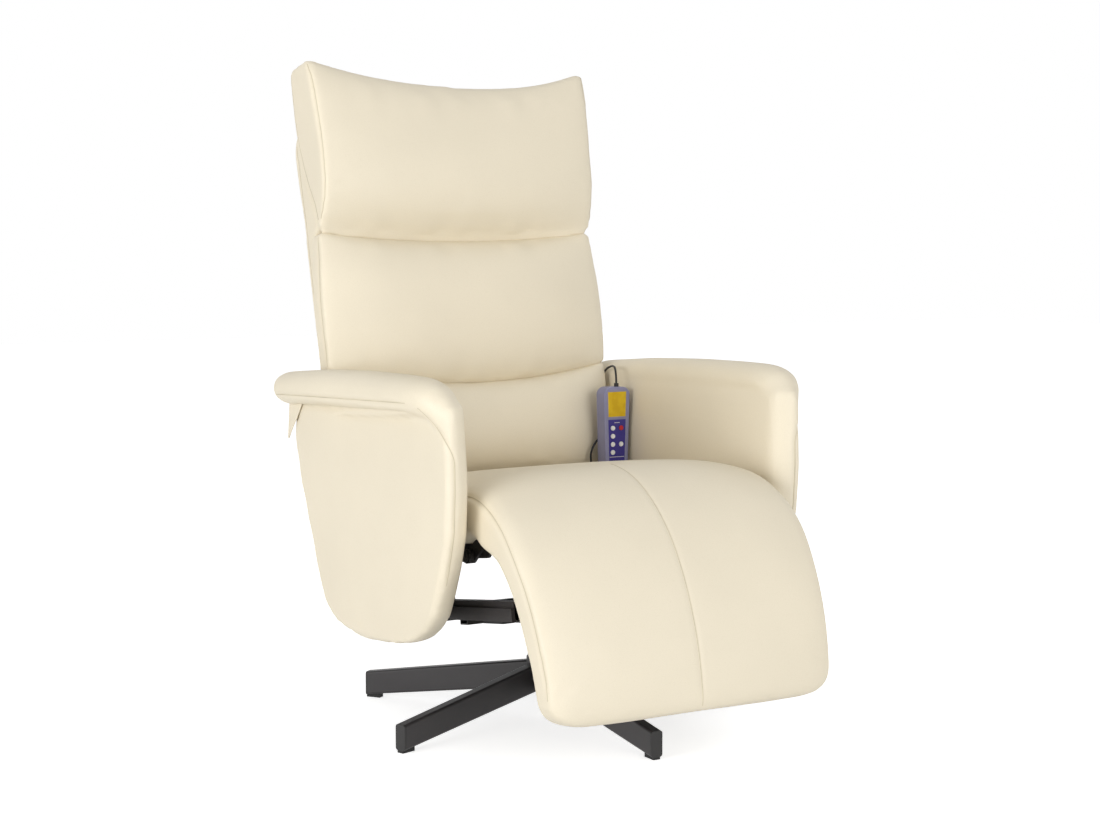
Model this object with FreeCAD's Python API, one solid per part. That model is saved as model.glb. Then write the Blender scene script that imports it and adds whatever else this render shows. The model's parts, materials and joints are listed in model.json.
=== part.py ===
import FreeCAD
import Part
import math
import os

# A swivelling massage recliner with a hinged leg rest, in millimetres.
# The origin is on the floor under the swivel post, +Z is up and the chair faces -Y.

# Five-armed base
LEG_COUNT = 5
LEG_FIRST_ANGLE = 270.0
LEG_REACH = 333.0
LEG_WIDTH = 20.0
LEG_HUB_TOP = 95.0
LEG_HUB_DEPTH = 46.0
LEG_END_TOP = 44.0
LEG_END_DEPTH = 40.0
LEG_WALL = 2.0
LEG_EDGE_RADIUS = 4.0
CAP_LENGTH = 4.0
CAP_PLUG = 14.0
FOOT_LENGTH = 25.0
HUB_RADIUS = 32.0
HUB_MARGIN = 3.0

# Swivel post, bush and socket
POST_RADIUS = 18.0
POST_TOP_DROP = 46.0
RUNNING_CLEARANCE = 0.05
BUSH_WALL = 3.0
BUSH_FLANGE_RADIUS = 30.0
BUSH_FLANGE = 4.0
SOCKET_WALL = 4.0

# Seat frame, tilted back about the swivel axis
SEAT_TILT = 8.3
FRAME_HEIGHT = 196.0
RAIL_OFFSET = 200.0
RAIL_WIDTH = 20.0
RAIL_HEIGHT = 30.0
RAIL_FRONT = 270.0
RAIL_REAR = 170.0
RAIL_WALL = 2.0
STRIP_THICKNESS = 4.0
STRIP_HEIGHT = 20.0
RAIL_PAD_LENGTH = 60.0
RAIL_PAD_HEIGHT = 4.0
RAIL_PAD_PLACE = 204.0
TUBE_SIZE = 25.0
TUBE_WALL = 2.0
TUBE_PLACE = 70.0
TUBE_DROP = 13.0
PLATE_SIZE = 190.0
PLATE_THICKNESS = 6.0
POST_SIZE = 20.0
POST_FRONT_PLACE = 36.0
POST_REAR_PLACE = 100.0
SEAT_BOARD_BOTTOM = 85.0
SEAT_BOARD_THICKNESS = 18.0
SEAT_BOARD_HALF_WIDTH = 228.0
SEAT_BOARD_FRONT = 262.0
SEAT_BOARD_REAR = 212.0

# Seat cushion, measured in the tilted frame
CUSHION_HALF_WIDTH = 262.0
SEAT_EDGE = 66.0
SEAT_CROWN = 41.0
SEAT_REAR = 172.0
SEAT_BEND_START = 206.0
SEAT_BEND_RADIUS = 180.0
SEAT_BEND_ANGLE = 38.0
SEAT_END_ROUND = 22.0
SHOULDER_INSET = 12.0
BASE_INSET = 6.0

# Leg rest, hung from the front of the seat
LEGREST_THICKNESS = 70.0
LEGREST_CROWN = 18.0
LEGREST_UPPER_RADIUS = 288.0
LEGREST_UPPER_ANGLE = 27.4
LEGREST_LOWER_RADIUS = 460.0
LEGREST_LOWER_ANGLE = 24.0
LEGREST_TAIL = 21.0
LEGREST_END_HALF_WIDTH = 240.0
LEGREST_END_ROUND = 20.0
LEGREST_BOARD_THICKNESS = 12.0
LEGREST_PIVOT_DEPTH = 34.0
LEGREST_GROOVE_ANGLE = 43.0
PAD_GAP = 0.6

# Linkage that raises the leg rest as the back reclines
RECLINE_RANGE = 40.0
STRAP_THICKNESS = 5.0
STRAP_WIDTH = 22.0
STRAP_GAP = 0.5
CRANK_LENGTH = 111.0
CRANK_ANGLE = 49.0
ROD_THICKNESS = 8.0
ROD_HEIGHT = 16.0
STUD_RADIUS = 6.0
ROD_STUD_RADIUS = 5.0
STUD_HEAD_RADIUS = 9.0
STUD_HEAD = 2.5
OPEN_PIVOT_CLEARANCE = 0.4
SLOT_CLEARANCE = 3.0
SLOT_REACH = 140.0

# Back rest, measured along its lean from its foot
BACK_LEAN = 12.0
BACK_FOOT_PLACE = 216.0
BACK_FOOT_RISE = 204.0
BACK_PIVOT_DROP = 82.0
BACK_PIVOT_SETBACK = 49.0
BACK_HALF_WIDTH = 262.0
BACK_CUSHION_THICKNESS = 45.0
BACK_CROWN = 20.0
BACK_SHOULDER_INSET = 22.0
BACK_PLANE = 33.0
BACK_BOTTOM = 12.0
LUMBAR_TOP = 149.0
MIDDLE_TOP = 404.0
HEAD_TOP = 690.0
HEAD_TOP_SAG = 24.0
HEAD_THICKNESS = 83.0
HEAD_LEAN = 20.0
BACK_BOARD_THICKNESS = 15.0
BACK_BOARD_DROP = 40.0
COVER_HALF_WIDTH = 258.0
COVER_TOP = 592.0
COVER_DROP = 20.0
COVER_THICKNESS = 43.0
COVER_CROWN = 12.0
BACK_LEVER_TOP = 110.0

# Arms, a plywood board between two pads under a rolled top
ARM_INNER_FACE = 272.0
ARM_INNER_PAD = 18.0
ARM_BOARD = 16.0
ARM_OUTER_PAD = 12.0
ARM_FRONT = 272.0
ARM_FOOT_FRONT = 228.0
ARM_KNEE_HEIGHT = 335.0
ARM_KNEE_SETBACK = 4.0
ARM_BOTTOM_FRONT = 192.0
ARM_BOTTOM_REAR = 150.0
ARM_REAR_TOP = 308.0
ARM_REAR_BOTTOM = 172.0
ARM_SHOULDER = 512.0
ARM_FRONT_ROUND = 60.0
ARM_KNEE_ROUND = 200.0
ARM_REAR_ROUND = 60.0
ARM_PAD_EDGE = 8.0
ARM_BOARD_INSET = 14.0
ROLL_RISE = 66.0
ROLL_LIP = 29.0
ROLL_INSET = 2.0
BRACKET_FLANGE = 54.0
BRACKET_PLATE = 4.0
BRACKET_FRONT_PLACE = 20.0
BRACKET_REAR_PLACE = 60.0
BRACKET_CLEARANCE = 1.0
BOLT_RADIUS = 4.0
BOLT_HEAD_RADIUS = 6.5
BOLT_HEAD = 5.0
BOLT_CLEARANCE = 0.2
BOLT_GRIP = 12.0
BOLT_SPACING = 39.6

# Massage electrics
MOTOR_RADIUS = 26.0
MOTOR_HEIGHT = 20.0
SEAT_MOTOR_SPREAD = 105.0
SEAT_MOTOR_PLACE = 180.0
BACK_MOTOR_SPREAD = 145.0
MIDDLE_MOTOR_PLACE = 205.0
HEAD_MOTOR_PLACE = 455.0
BOX_LENGTH = 110.0
BOX_WIDTH = 90.0
BOX_HEIGHT = 36.0
BOX_WALL = 2.5
BOX_LID = 3.0
BOX_PLACE = 135.0
INLET_RADIUS = 8.0
INLET_BORE = 5.5
INLET_LENGTH = 11.0

# Handset, standing on the seat beside the right arm
HANDSET_PLACE = 238.0
HANDSET_FRONT = 160.0
HANDSET_LENGTH = 168.0
HANDSET_TOP_WIDTH = 54.0
HANDSET_FOOT_WIDTH = 44.0
HANDSET_DEPTH = 28.0
HANDSET_SPLIT = 12.0
HANDSET_WALL = 2.2
HANDSET_LEDGE = 1.0
HANDSET_CORNER = 14.0
HANDSET_EDGE = 3.0
HANDSET_SEAT_GAP = 0.3
SCREEN_WIDTH = 38.0
SCREEN_HEIGHT = 44.0
SCREEN_CENTRE = 138.0
SCREEN_FLANGE = 2.0
SCREEN_DEPTH = 1.5
PANEL_WIDTH = 36.0
PANEL_HEIGHT = 74.0
PANEL_TOP = 111.0
PANEL_THICKNESS = 0.8
CIRCUIT_THICKNESS = 1.6
BUTTON_RADIUS = 4.2
BUTTON_RISE = 1.6
BUTTON_COLUMN = 8.5
BUTTON_FLANGE = 1.2
BUTTON_FLANGE_DEPTH = 1.5
BUTTON_CLEARANCE = 0.3
BUTTON_TRAVEL = 1.2
BUTTON_FIRST_ROW = 96.0
BUTTON_ROW_PITCH = 14.3
GLAND_RADIUS = 4.0
GLAND_LENGTH = 6.0
GLAND_OFFSET = 7.0
CORD_RADIUS = 1.9
GROMMET_RADIUS = 9.0
GROMMET_NECK = 7.0
GROMMET_HEIGHT = 6.5
GROMMET_SETBACK = 15.6
GROMMET_PLACE = 210.0

# One overrun serves every cut that runs past a face
OVERRUN = 5.0

# Stations of the padded pieces, as shares of the sizes that they follow
SEAT_ROUND_SHARES = [(0.0, 0.72), (0.35, 0.9), (1.0, 1.0)]
SEAT_BEND_SHARES = [0.35, 0.7, 1.0, 1.15]
LEGREST_START_SHARE = -0.5
LEGREST_UPPER_SHARES = [0.0, 0.5, 1.0]
LEGREST_LOWER_SHARES = [0.33, 0.66, 1.0]
LEGREST_END_SHARES = [(0.0, 1.0), (0.65, 0.9), (1.0, 0.6)]
SECTION_WAIST_SHARE = 0.45
PILLOW_SHARES = [(0.0, 0.5, -0.3), (0.12, 0.86, 0.5), (0.5, 1.0, 1.0), (0.86, 0.88, 0.6), (1.0, 0.5, -0.3)]
HEAD_SHARES = [
    (0.0, 0.38, -0.3, 0.0),
    (0.1, 0.62, 0.4, 0.0),
    (0.35, 0.9, 0.8, 0.05),
    (0.55, 1.0, 0.8, 0.5),
    (0.8, 0.94, 0.5, 1.0),
    (0.93, 0.82, 0.2, 1.0),
    (1.0, 0.6, 0.1, 0.85),
]
COVER_SHARES = [
    (0.0, 0.6, 0.3, 0.0),
    (0.04, 0.78, 0.7, 0.0),
    (0.3, 0.86, 1.0, 0.0),
    (0.69, 1.0, 1.0, 0.0),
    (0.86, 1.0, 1.0, 0.0),
    (0.93, 0.88, 0.8, 0.3),
    (1.0, 0.4, 0.3, 0.7),
]
COVER_LOWER_COUNT = 5
ROLL_SHARES = [
    (1.0, 0.68, 0.8),
    (0.9, 0.78, 1.0),
    (0.0, 1.0, 1.0),
    (-0.7, 0.98, 0.95),
    (-0.88, 0.74, 0.7),
    (-0.965, 0.42, 0.4),
    (-0.995, 0.18, 0.2),
]
ROLL_CREST_SHARE = 0.82
ROLL_INNER_SHARES = (0.2, 0.7)
ROLL_OUTER_SHARES = (0.72, 0.86)
ROLL_LIP_SHARE = 0.34
ROLL_UNDER_SHARES = (0.3, 0.04)
LEVER_HOLD_SHARES = [0.45, 0.95]

# Handset cord from its gland to the grommet, chosen by hand
CORD_ROUTE = [
    (245.0, 175.0, 554.0),
    (262.0, 214.0, 558.0),
    (268.0, 252.0, 546.0),
    (268.5, 274.0, 511.0),
    (268.5, 272.0, 471.0),
    (267.5, 243.0, 443.0),
    (257.0, 206.0, 437.0),
    (222.0, 194.5, 433.0),
    (204.0, 195.5, 407.0),
    (211.0, 200.5, 378.0),
    (214.0, 208.0, 344.0),
    (212.0, 212.0, 309.0),
]

V = FreeCAD.Vector
X_AXIS = V(1, 0, 0)
Y_AXIS = V(0, 1, 0)
Z_AXIS = V(0, 0, 1)
ORIGIN = V(0, 0, 0)

parts = {}


def sine(degrees):
    return math.sin(math.radians(degrees))


def cosine(degrees):
    return math.cos(math.radians(degrees))


# Helpers that build plain shapes


def block(x, y, z):
    """A box between three (low, high) pairs."""
    return Part.makeBox(x[1] - x[0], y[1] - y[0], z[1] - z[0], V(x[0], y[0], z[0]))


def rod_between(radius, start, end):
    way = end - start
    return Part.makeCylinder(radius, way.Length, start, way)


def tube_block(x, y, z, wall, open_axis):
    """A rectangular tube that is open along one axis."""
    spans = [x, y, z]
    inner = [(low + wall, high - wall) for low, high in spans]
    inner[open_axis] = (spans[open_axis][0] - OVERRUN, spans[open_axis][1] + OVERRUN)
    return block(*spans).cut(block(*inner))


def line(start, end):
    return Part.LineSegment(start, end).toShape()


def arc(start, middle, end):
    return Part.Arc(start, middle, end).toShape()


def side_prism(points, x_low, x_high):
    """A polygon of (y, z) points, extruded across the chair."""
    corners = [V(x_low, y, z) for y, z in points]
    face = Part.Face(Part.makePolygon(corners + corners[:1]))
    return face.extrude(V(x_high - x_low, 0, 0))


def rounded_wire(points, radii):
    """A closed wire through the corners, each corner rounded by an arc of its radius."""
    count = len(points)
    edges = []
    ends = []
    for i in range(count):
        here = points[i]
        back = (points[i - 1] - here).normalize()
        ahead = (points[(i + 1) % count] - here).normalize()
        half = back.getAngle(ahead) / 2
        run = radii[i] / math.tan(half)
        middle = (back + ahead).normalize()
        deep = radii[i] / math.sin(half) - radii[i]
        ends.append((here + back * run, here + middle * deep, here + ahead * run))
    for i in range(count):
        edges.append(arc(*ends[i]))
        edges.append(line(ends[i][2], ends[(i + 1) % count][0]))
    return Part.Wire(edges)


def strap(points, width, x_low, x_high):
    """A flat bar with round ends and corners through (y, z) points."""
    pieces = []
    for y, z in points:
        pieces.append(rod_between(width / 2, V(x_low, y, z), V(x_high, y, z)))
    for (y0, z0), (y1, z1) in zip(points, points[1:]):
        length = math.hypot(y1 - y0, z1 - z0)
        across_y = -(z1 - z0) / length * width / 2
        across_z = (y1 - y0) / length * width / 2
        sides = [
            (y0 + across_y, z0 + across_z),
            (y1 + across_y, z1 + across_z),
            (y1 - across_y, z1 - across_z),
            (y0 - across_y, z0 - across_z),
        ]
        pieces.append(side_prism(sides, x_low, x_high))
    return pieces[0].multiFuse(pieces[1:]).removeSplitter()


def mirrored(shape):
    return shape.mirror(ORIGIN, X_AXIS)


def pair(shape):
    """A shape on the right and its mirror image on the left."""
    return Part.Compound([shape, mirrored(shape)])


def solid_loft(wires):
    return Part.makeLoft(wires, True, False)


def cushion_section(base, up, half_width, edge, crown, shoulder_inset):
    """A padded cross-section: flat base, sides drawn in above and below, crowned top."""

    def point(x, height):
        return base + X_AXIS * x + up * height

    low = half_width - BASE_INSET
    high = half_width - shoulder_inset
    waist = edge * SECTION_WAIST_SHARE
    edges = [
        line(point(-low, 0), point(low, 0)),
        arc(point(low, 0), point(half_width, waist), point(high, edge)),
        arc(point(high, edge), point(0, edge + crown), point(-high, edge)),
        arc(point(-high, edge), point(-half_width, waist), point(-low, 0)),
    ]
    return Part.Wire(edges)


# The tilted seat frame, where s runs to the rear and h is square to the seat


def frame_point(s, h):
    y = s * cosine(SEAT_TILT) + h * sine(SEAT_TILT)
    z = FRAME_HEIGHT - s * sine(SEAT_TILT) + h * cosine(SEAT_TILT)
    return y, z


def frame_vector(x, s, h):
    y, z = frame_point(s, h)
    return V(x, y, z)


def tilted(shape):
    placed = shape.copy()
    placed.rotate(ORIGIN, X_AXIS, -SEAT_TILT)
    placed.translate(V(0, 0, FRAME_HEIGHT))
    return placed


# The leaning back, where u runs up its lean and v is square to it, to the rear

BACK_FOOT_HEIGHT = FRAME_HEIGHT + BACK_FOOT_RISE


def back_point(u, v):
    y = BACK_FOOT_PLACE + u * sine(BACK_LEAN) + v * cosine(BACK_LEAN)
    z = BACK_FOOT_HEIGHT + u * cosine(BACK_LEAN) - v * sine(BACK_LEAN)
    return y, z


def leaned(shape):
    placed = shape.copy()
    placed.rotate(ORIGIN, X_AXIS, -BACK_LEAN)
    placed.translate(V(0, BACK_FOOT_PLACE, BACK_FOOT_HEIGHT))
    return placed


# The top line of the seat's front bend and of the leg rest, by its slope below the horizon

SEAT_BOARD_TOP = SEAT_BOARD_BOTTOM + SEAT_BOARD_THICKNESS
SEAT_THICKNESS = SEAT_EDGE + SEAT_CROWN
SEAT_TOP = SEAT_BOARD_TOP + SEAT_THICKNESS
BEND_CENTRE = frame_point(-SEAT_BEND_START, SEAT_TOP - SEAT_BEND_RADIUS)
SPLIT_SLOPE = SEAT_BEND_ANGLE - SEAT_TILT
KNEE_SLOPE = SPLIT_SLOPE + LEGREST_UPPER_ANGLE
END_SLOPE = KNEE_SLOPE + LEGREST_LOWER_ANGLE


def on_arc(centre, radius, slope):
    return centre[0] - radius * sine(slope), centre[1] + radius * cosine(slope)


SPLIT_TOP = on_arc(BEND_CENTRE, SEAT_BEND_RADIUS, SPLIT_SLOPE)
UPPER_CENTRE = on_arc(SPLIT_TOP, -LEGREST_UPPER_RADIUS, SPLIT_SLOPE)
KNEE_TOP = on_arc(UPPER_CENTRE, LEGREST_UPPER_RADIUS, KNEE_SLOPE)
LOWER_CENTRE = on_arc(KNEE_TOP, -LEGREST_LOWER_RADIUS, KNEE_SLOPE)


def legrest_point(slope, depth):
    """A (y, z) point of the leg rest, at a slope and a depth below its top line."""
    if slope <= KNEE_SLOPE:
        return on_arc(UPPER_CENTRE, LEGREST_UPPER_RADIUS - depth, slope)
    return on_arc(LOWER_CENTRE, LEGREST_LOWER_RADIUS - depth, slope)


def tail_point(along, depth):
    """A (y, z) point on the straight tail below the leg rest's bends."""
    y, z = legrest_point(END_SLOPE, depth)
    return y - along * cosine(END_SLOPE), z - along * sine(END_SLOPE)


def outward(slope):
    return V(0, -sine(slope), cosine(slope))


# Pivots and layers of the linkage

LEGREST_PIVOT = on_arc(BEND_CENTRE, SEAT_BEND_RADIUS - LEGREST_PIVOT_DEPTH, SPLIT_SLOPE)
BACK_PIVOT = back_point(-BACK_PIVOT_DROP, BACK_PIVOT_SETBACK)


def crank_end(pivot):
    return pivot[0] + CRANK_LENGTH * sine(CRANK_ANGLE), pivot[1] - CRANK_LENGTH * cosine(CRANK_ANGLE)


ROD_FRONT = crank_end(LEGREST_PIVOT)
ROD_REAR = crank_end(BACK_PIVOT)
HINGE_LOW = SEAT_BOARD_HALF_WIDTH
HINGE_HIGH = HINGE_LOW + STRAP_THICKNESS
CRANK_LOW = HINGE_HIGH + STRAP_GAP
CRANK_HIGH = CRANK_LOW + STRAP_THICKNESS
ROD_LOW = CRANK_HIGH + STRAP_GAP
ROD_HIGH = ROD_LOW + ROD_THICKNESS
ROD_HEAD_LOW = ROD_HIGH + STRAP_GAP
SLOT_HIGH = ROD_HEAD_LOW + STUD_HEAD + STRAP_GAP
SLOT_LOW = HINGE_LOW - STRAP_GAP


def across(point, x):
    return V(x, point[0], point[1])


def stud(point, radius, root, shank_end, head_low):
    """A headed stud across the chair, from its root to past its shank's end."""
    shank = rod_between(radius, across(point, root), across(point, head_low))
    head = rod_between(STUD_HEAD_RADIUS, across(point, shank_end), across(point, head_low + STUD_HEAD))
    return shank.fuse(head)


def eye_hole(point, radius):
    return rod_between(radius, across(point, HINGE_LOW - OVERRUN), across(point, SLOT_HIGH + OVERRUN))


# Five-armed base

HUB_TOP = LEG_HUB_TOP + HUB_MARGIN
POST_HEIGHT = FRAME_HEIGHT - POST_TOP_DROP
HUB_BOTTOM = LEG_HUB_TOP - LEG_HUB_DEPTH - HUB_MARGIN


def leg_height(reach, inset):
    """The leg's (bottom, top) at a distance from the axis, shrunk by an inset."""
    share = reach / LEG_REACH
    top = LEG_HUB_TOP + (LEG_END_TOP - LEG_HUB_TOP) * share
    depth = LEG_HUB_DEPTH + (LEG_END_DEPTH - LEG_HUB_DEPTH) * share
    return top - depth + inset, top - inset


def leg_length(start, end, inset):
    """A tapered stretch of the leg with rounded long edges, shrunk by an inset."""
    half = LEG_WIDTH / 2 - inset
    start_bottom, start_top = leg_height(start, inset)
    end_bottom, end_top = leg_height(end, inset)
    corners = [
        V(start, -half, start_bottom),
        V(end, -half, end_bottom),
        V(end, -half, end_top),
        V(start, -half, start_top),
    ]
    stretch = Part.Face(Part.makePolygon(corners + corners[:1])).extrude(V(0, 2 * half, 0))
    long_edges = [edge for edge in stretch.Edges if edge.BoundBox.XLength > (end - start) / 2]
    return stretch.makeFillet(LEG_EDGE_RADIUS - inset, long_edges)


def base_leg():
    tube_end = LEG_REACH - CAP_LENGTH
    tube = leg_length(POST_RADIUS, tube_end, 0)
    hollow = leg_length(POST_RADIUS, tube_end + CAP_LENGTH, LEG_WALL)
    hub = Part.makeCylinder(HUB_RADIUS, HUB_TOP, ORIGIN, Z_AXIS)
    return tube.cut(hollow).cut(hub)


def leg_cap():
    tube_end = LEG_REACH - CAP_LENGTH
    plate = leg_length(tube_end, LEG_REACH, 0)
    plug = leg_length(tube_end - CAP_PLUG, tube_end, LEG_WALL)
    return plate.fuse(plug)


def foot_pad():
    """A pad whose top follows the leg's sloping underside."""
    half = LEG_WIDTH / 2 - LEG_EDGE_RADIUS
    start = LEG_REACH - FOOT_LENGTH
    slope_top = LEG_END_TOP - LEG_END_DEPTH
    rise = (LEG_HUB_TOP - LEG_HUB_DEPTH - slope_top) / LEG_REACH
    side = [
        V(start, -half, 0),
        V(LEG_REACH, -half, 0),
        V(LEG_REACH, -half, slope_top),
        V(start, -half, slope_top + rise * FOOT_LENGTH),
    ]
    face = Part.Face(Part.makePolygon(side + side[:1]))
    return face.extrude(V(0, 2 * half, 0))


def turned(shape, index):
    placed = shape.copy()
    placed.rotate(ORIGIN, Z_AXIS, LEG_FIRST_ANGLE + index * 360 / LEG_COUNT)
    return placed


LEG_NAMES = ["front", "front_right", "rear_right", "rear_left", "front_left"]
for i in range(LEG_COUNT):
    parts["base_leg_" + LEG_NAMES[i]] = turned(base_leg(), i)
parts["leg_caps"] = Part.Compound([turned(leg_cap(), i) for i in range(LEG_COUNT)])
parts["foot_pads"] = Part.Compound([turned(foot_pad(), i) for i in range(LEG_COUNT)])

hub_body = Part.makeCylinder(HUB_RADIUS, HUB_TOP - HUB_BOTTOM, V(0, 0, HUB_BOTTOM), Z_AXIS)
post = Part.makeCylinder(POST_RADIUS, POST_HEIGHT - HUB_BOTTOM, V(0, 0, HUB_BOTTOM), Z_AXIS)
parts["base_hub"] = hub_body.cut(post)
parts["swivel_post"] = post

# Swivel bush, socket and plate

BUSH_INNER = POST_RADIUS + RUNNING_CLEARANCE
BUSH_OUTER = BUSH_INNER + BUSH_WALL
SOCKET_OUTER = BUSH_OUTER + SOCKET_WALL
SOCKET_BOTTOM = HUB_TOP + BUSH_FLANGE
PLATE_TOP = -TUBE_DROP - TUBE_SIZE / 2
PLATE_BOTTOM = PLATE_TOP - PLATE_THICKNESS


def swivel_bush():
    sleeve = Part.makeCylinder(BUSH_OUTER, POST_HEIGHT - HUB_TOP, V(0, 0, HUB_TOP), Z_AXIS)
    flange = Part.makeCylinder(BUSH_FLANGE_RADIUS, BUSH_FLANGE, V(0, 0, HUB_TOP), Z_AXIS)
    bore = Part.makeCylinder(BUSH_INNER, POST_HEIGHT, ORIGIN, Z_AXIS)
    return sleeve.fuse(flange).cut(bore)


def swivel_socket():
    """A tube whose top is cut to the slope of the plate that it carries."""
    tube = Part.makeCylinder(SOCKET_OUTER, FRAME_HEIGHT - SOCKET_BOTTOM, V(0, 0, SOCKET_BOTTOM), Z_AXIS)
    bore = Part.makeCylinder(BUSH_OUTER, FRAME_HEIGHT, ORIGIN, Z_AXIS)
    above = block((-PLATE_SIZE, PLATE_SIZE), (-PLATE_SIZE, PLATE_SIZE), (PLATE_BOTTOM, FRAME_HEIGHT))
    return tube.cut(bore).cut(tilted(above))


def bolt(start, way, grip):
    """A bolt whose head sits against start and whose shank runs along way."""
    head = Part.makeCylinder(BOLT_HEAD_RADIUS, BOLT_HEAD, start, way * -1)
    shank = Part.makeCylinder(BOLT_RADIUS, grip, start, way)
    return head.fuse(shank)


def bolt_hole(start, way, grip):
    return Part.makeCylinder(BOLT_RADIUS + BOLT_CLEARANCE, grip + 2 * OVERRUN, start - way * OVERRUN, way)


plate_half = PLATE_SIZE / 2
plate_bolt_starts = []
for x_sign in (-1, 1):
    for s_sign in (-1, 1):
        plate_bolt_starts.append(V(x_sign * TUBE_PLACE, s_sign * TUBE_PLACE, PLATE_BOTTOM))
plate_bolts = [bolt(start, Z_AXIS, BOLT_GRIP) for start in plate_bolt_starts]
plate_holes = [bolt_hole(start, Z_AXIS, BOLT_GRIP) for start in plate_bolt_starts]

plate = block((-plate_half, plate_half), (-plate_half, plate_half), (PLATE_BOTTOM, PLATE_TOP))
parts["swivel_plate"] = tilted(plate.cut(plate_holes))
parts["swivel_socket"] = swivel_socket()
parts["swivel_bush"] = swivel_bush()

# Rails, cross tubes and seat posts

RAIL_INNER = RAIL_OFFSET - RAIL_WIDTH / 2
RAIL_OUTER = RAIL_OFFSET + RAIL_WIDTH / 2
RAIL_TOP = RAIL_HEIGHT / 2


def side_rail():
    tube = tube_block(
        (RAIL_INNER, RAIL_OUTER), (-RAIL_FRONT, RAIL_REAR), (-RAIL_TOP, RAIL_TOP), RAIL_WALL, 1
    )
    strip = block(
        (RAIL_OUTER, RAIL_OUTER + STRIP_THICKNESS),
        (-RAIL_FRONT, RAIL_REAR),
        (-RAIL_TOP, STRIP_HEIGHT - RAIL_TOP),
    )
    return tube.fuse(strip).removeSplitter()


parts["side_rail_right"] = tilted(side_rail())
parts["side_rail_left"] = mirrored(parts["side_rail_right"])

rail_pad = block(
    (RAIL_INNER, RAIL_OUTER),
    (-RAIL_PAD_PLACE - RAIL_PAD_LENGTH / 2, -RAIL_PAD_PLACE + RAIL_PAD_LENGTH / 2),
    (-RAIL_TOP - RAIL_PAD_HEIGHT, -RAIL_TOP),
)
parts["rail_pads"] = pair(tilted(rail_pad))


def cross_tube(place):
    half = TUBE_SIZE / 2
    heights = (-TUBE_DROP - half, -TUBE_DROP + half)
    return tube_block((-RAIL_INNER, RAIL_INNER), (place - half, place + half), heights, TUBE_WALL, 0)


cross_tubes = [cross_tube(place).cut(plate_holes) for place in (-TUBE_PLACE, TUBE_PLACE)]
parts["cross_tubes"] = Part.Compound([tilted(tube) for tube in cross_tubes])


def seat_post(place):
    half = POST_SIZE / 2
    return tube_block(
        (RAIL_OFFSET - half, RAIL_OFFSET + half),
        (place - half, place + half),
        (RAIL_TOP, SEAT_BOARD_BOTTOM),
        TUBE_WALL,
        2,
    )


posts = [tilted(seat_post(place)) for place in (-POST_FRONT_PLACE, POST_REAR_PLACE)]
parts["seat_posts"] = Part.Compound(posts + [mirrored(post_side) for post_side in posts])

# Seat board with its grommet, and the cushion that it carries

grommet_s = SEAT_BOARD_REAR - GROMMET_SETBACK
grommet_axis = V(GROMMET_PLACE, grommet_s, SEAT_BOARD_BOTTOM)
neck = Part.makeCylinder(GROMMET_NECK, SEAT_BOARD_THICKNESS, grommet_axis, Z_AXIS)
collar_start = grommet_axis + V(0, 0, SEAT_BOARD_THICKNESS)
collar = Part.makeCylinder(GROMMET_RADIUS, GROMMET_HEIGHT, collar_start, Z_AXIS)
parts["cord_grommet"] = tilted(neck.fuse(collar))
CORD_END = frame_vector(GROMMET_PLACE, grommet_s, SEAT_BOARD_TOP + GROMMET_HEIGHT)

seat_board = block(
    (-SEAT_BOARD_HALF_WIDTH, SEAT_BOARD_HALF_WIDTH),
    (-SEAT_BOARD_FRONT, SEAT_BOARD_REAR),
    (SEAT_BOARD_BOTTOM, SEAT_BOARD_TOP),
)
parts["seat_board"] = tilted(seat_board.cut(neck))


def motor(base, way):
    return Part.makeCylinder(MOTOR_RADIUS, MOTOR_HEIGHT, base, way)


seat_motor = tilted(motor(V(SEAT_MOTOR_SPREAD, -SEAT_MOTOR_PLACE, SEAT_BOARD_TOP), Z_AXIS))
parts["seat_motors"] = pair(seat_motor)


def wedge(point, start, end):
    """A prism that fans out from a pivot between two bearings, 0 being straight down and 90 the rear."""
    reach = LEG_REACH
    steps = max(1, math.ceil(abs(end - start) / 45))
    fan = [point]
    for i in range(steps + 1):
        bearing = start + (end - start) * i / steps
        fan.append((point[0] + reach * sine(bearing), point[1] - reach * cosine(bearing)))
    return side_prism(fan, -ARM_FRONT, ARM_FRONT)


def shifted(point, forward, slope):
    return point[0] - forward * cosine(slope), point[1] - forward * sine(slope)


half_groove = LEGREST_GROOVE_ANGLE / 2
SEAT_SIDE = shifted(LEGREST_PIVOT, -PAD_GAP / 2, SPLIT_SLOPE)
LEGREST_SIDE = shifted(LEGREST_PIVOT, PAD_GAP / 2, SPLIT_SLOPE)
ahead_of_seat = wedge(SEAT_SIDE, SPLIT_SLOPE, SPLIT_SLOPE - 180 - half_groove)
behind_legrest = wedge(LEGREST_SIDE, SPLIT_SLOPE, SPLIT_SLOPE + 180 + half_groove)


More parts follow.
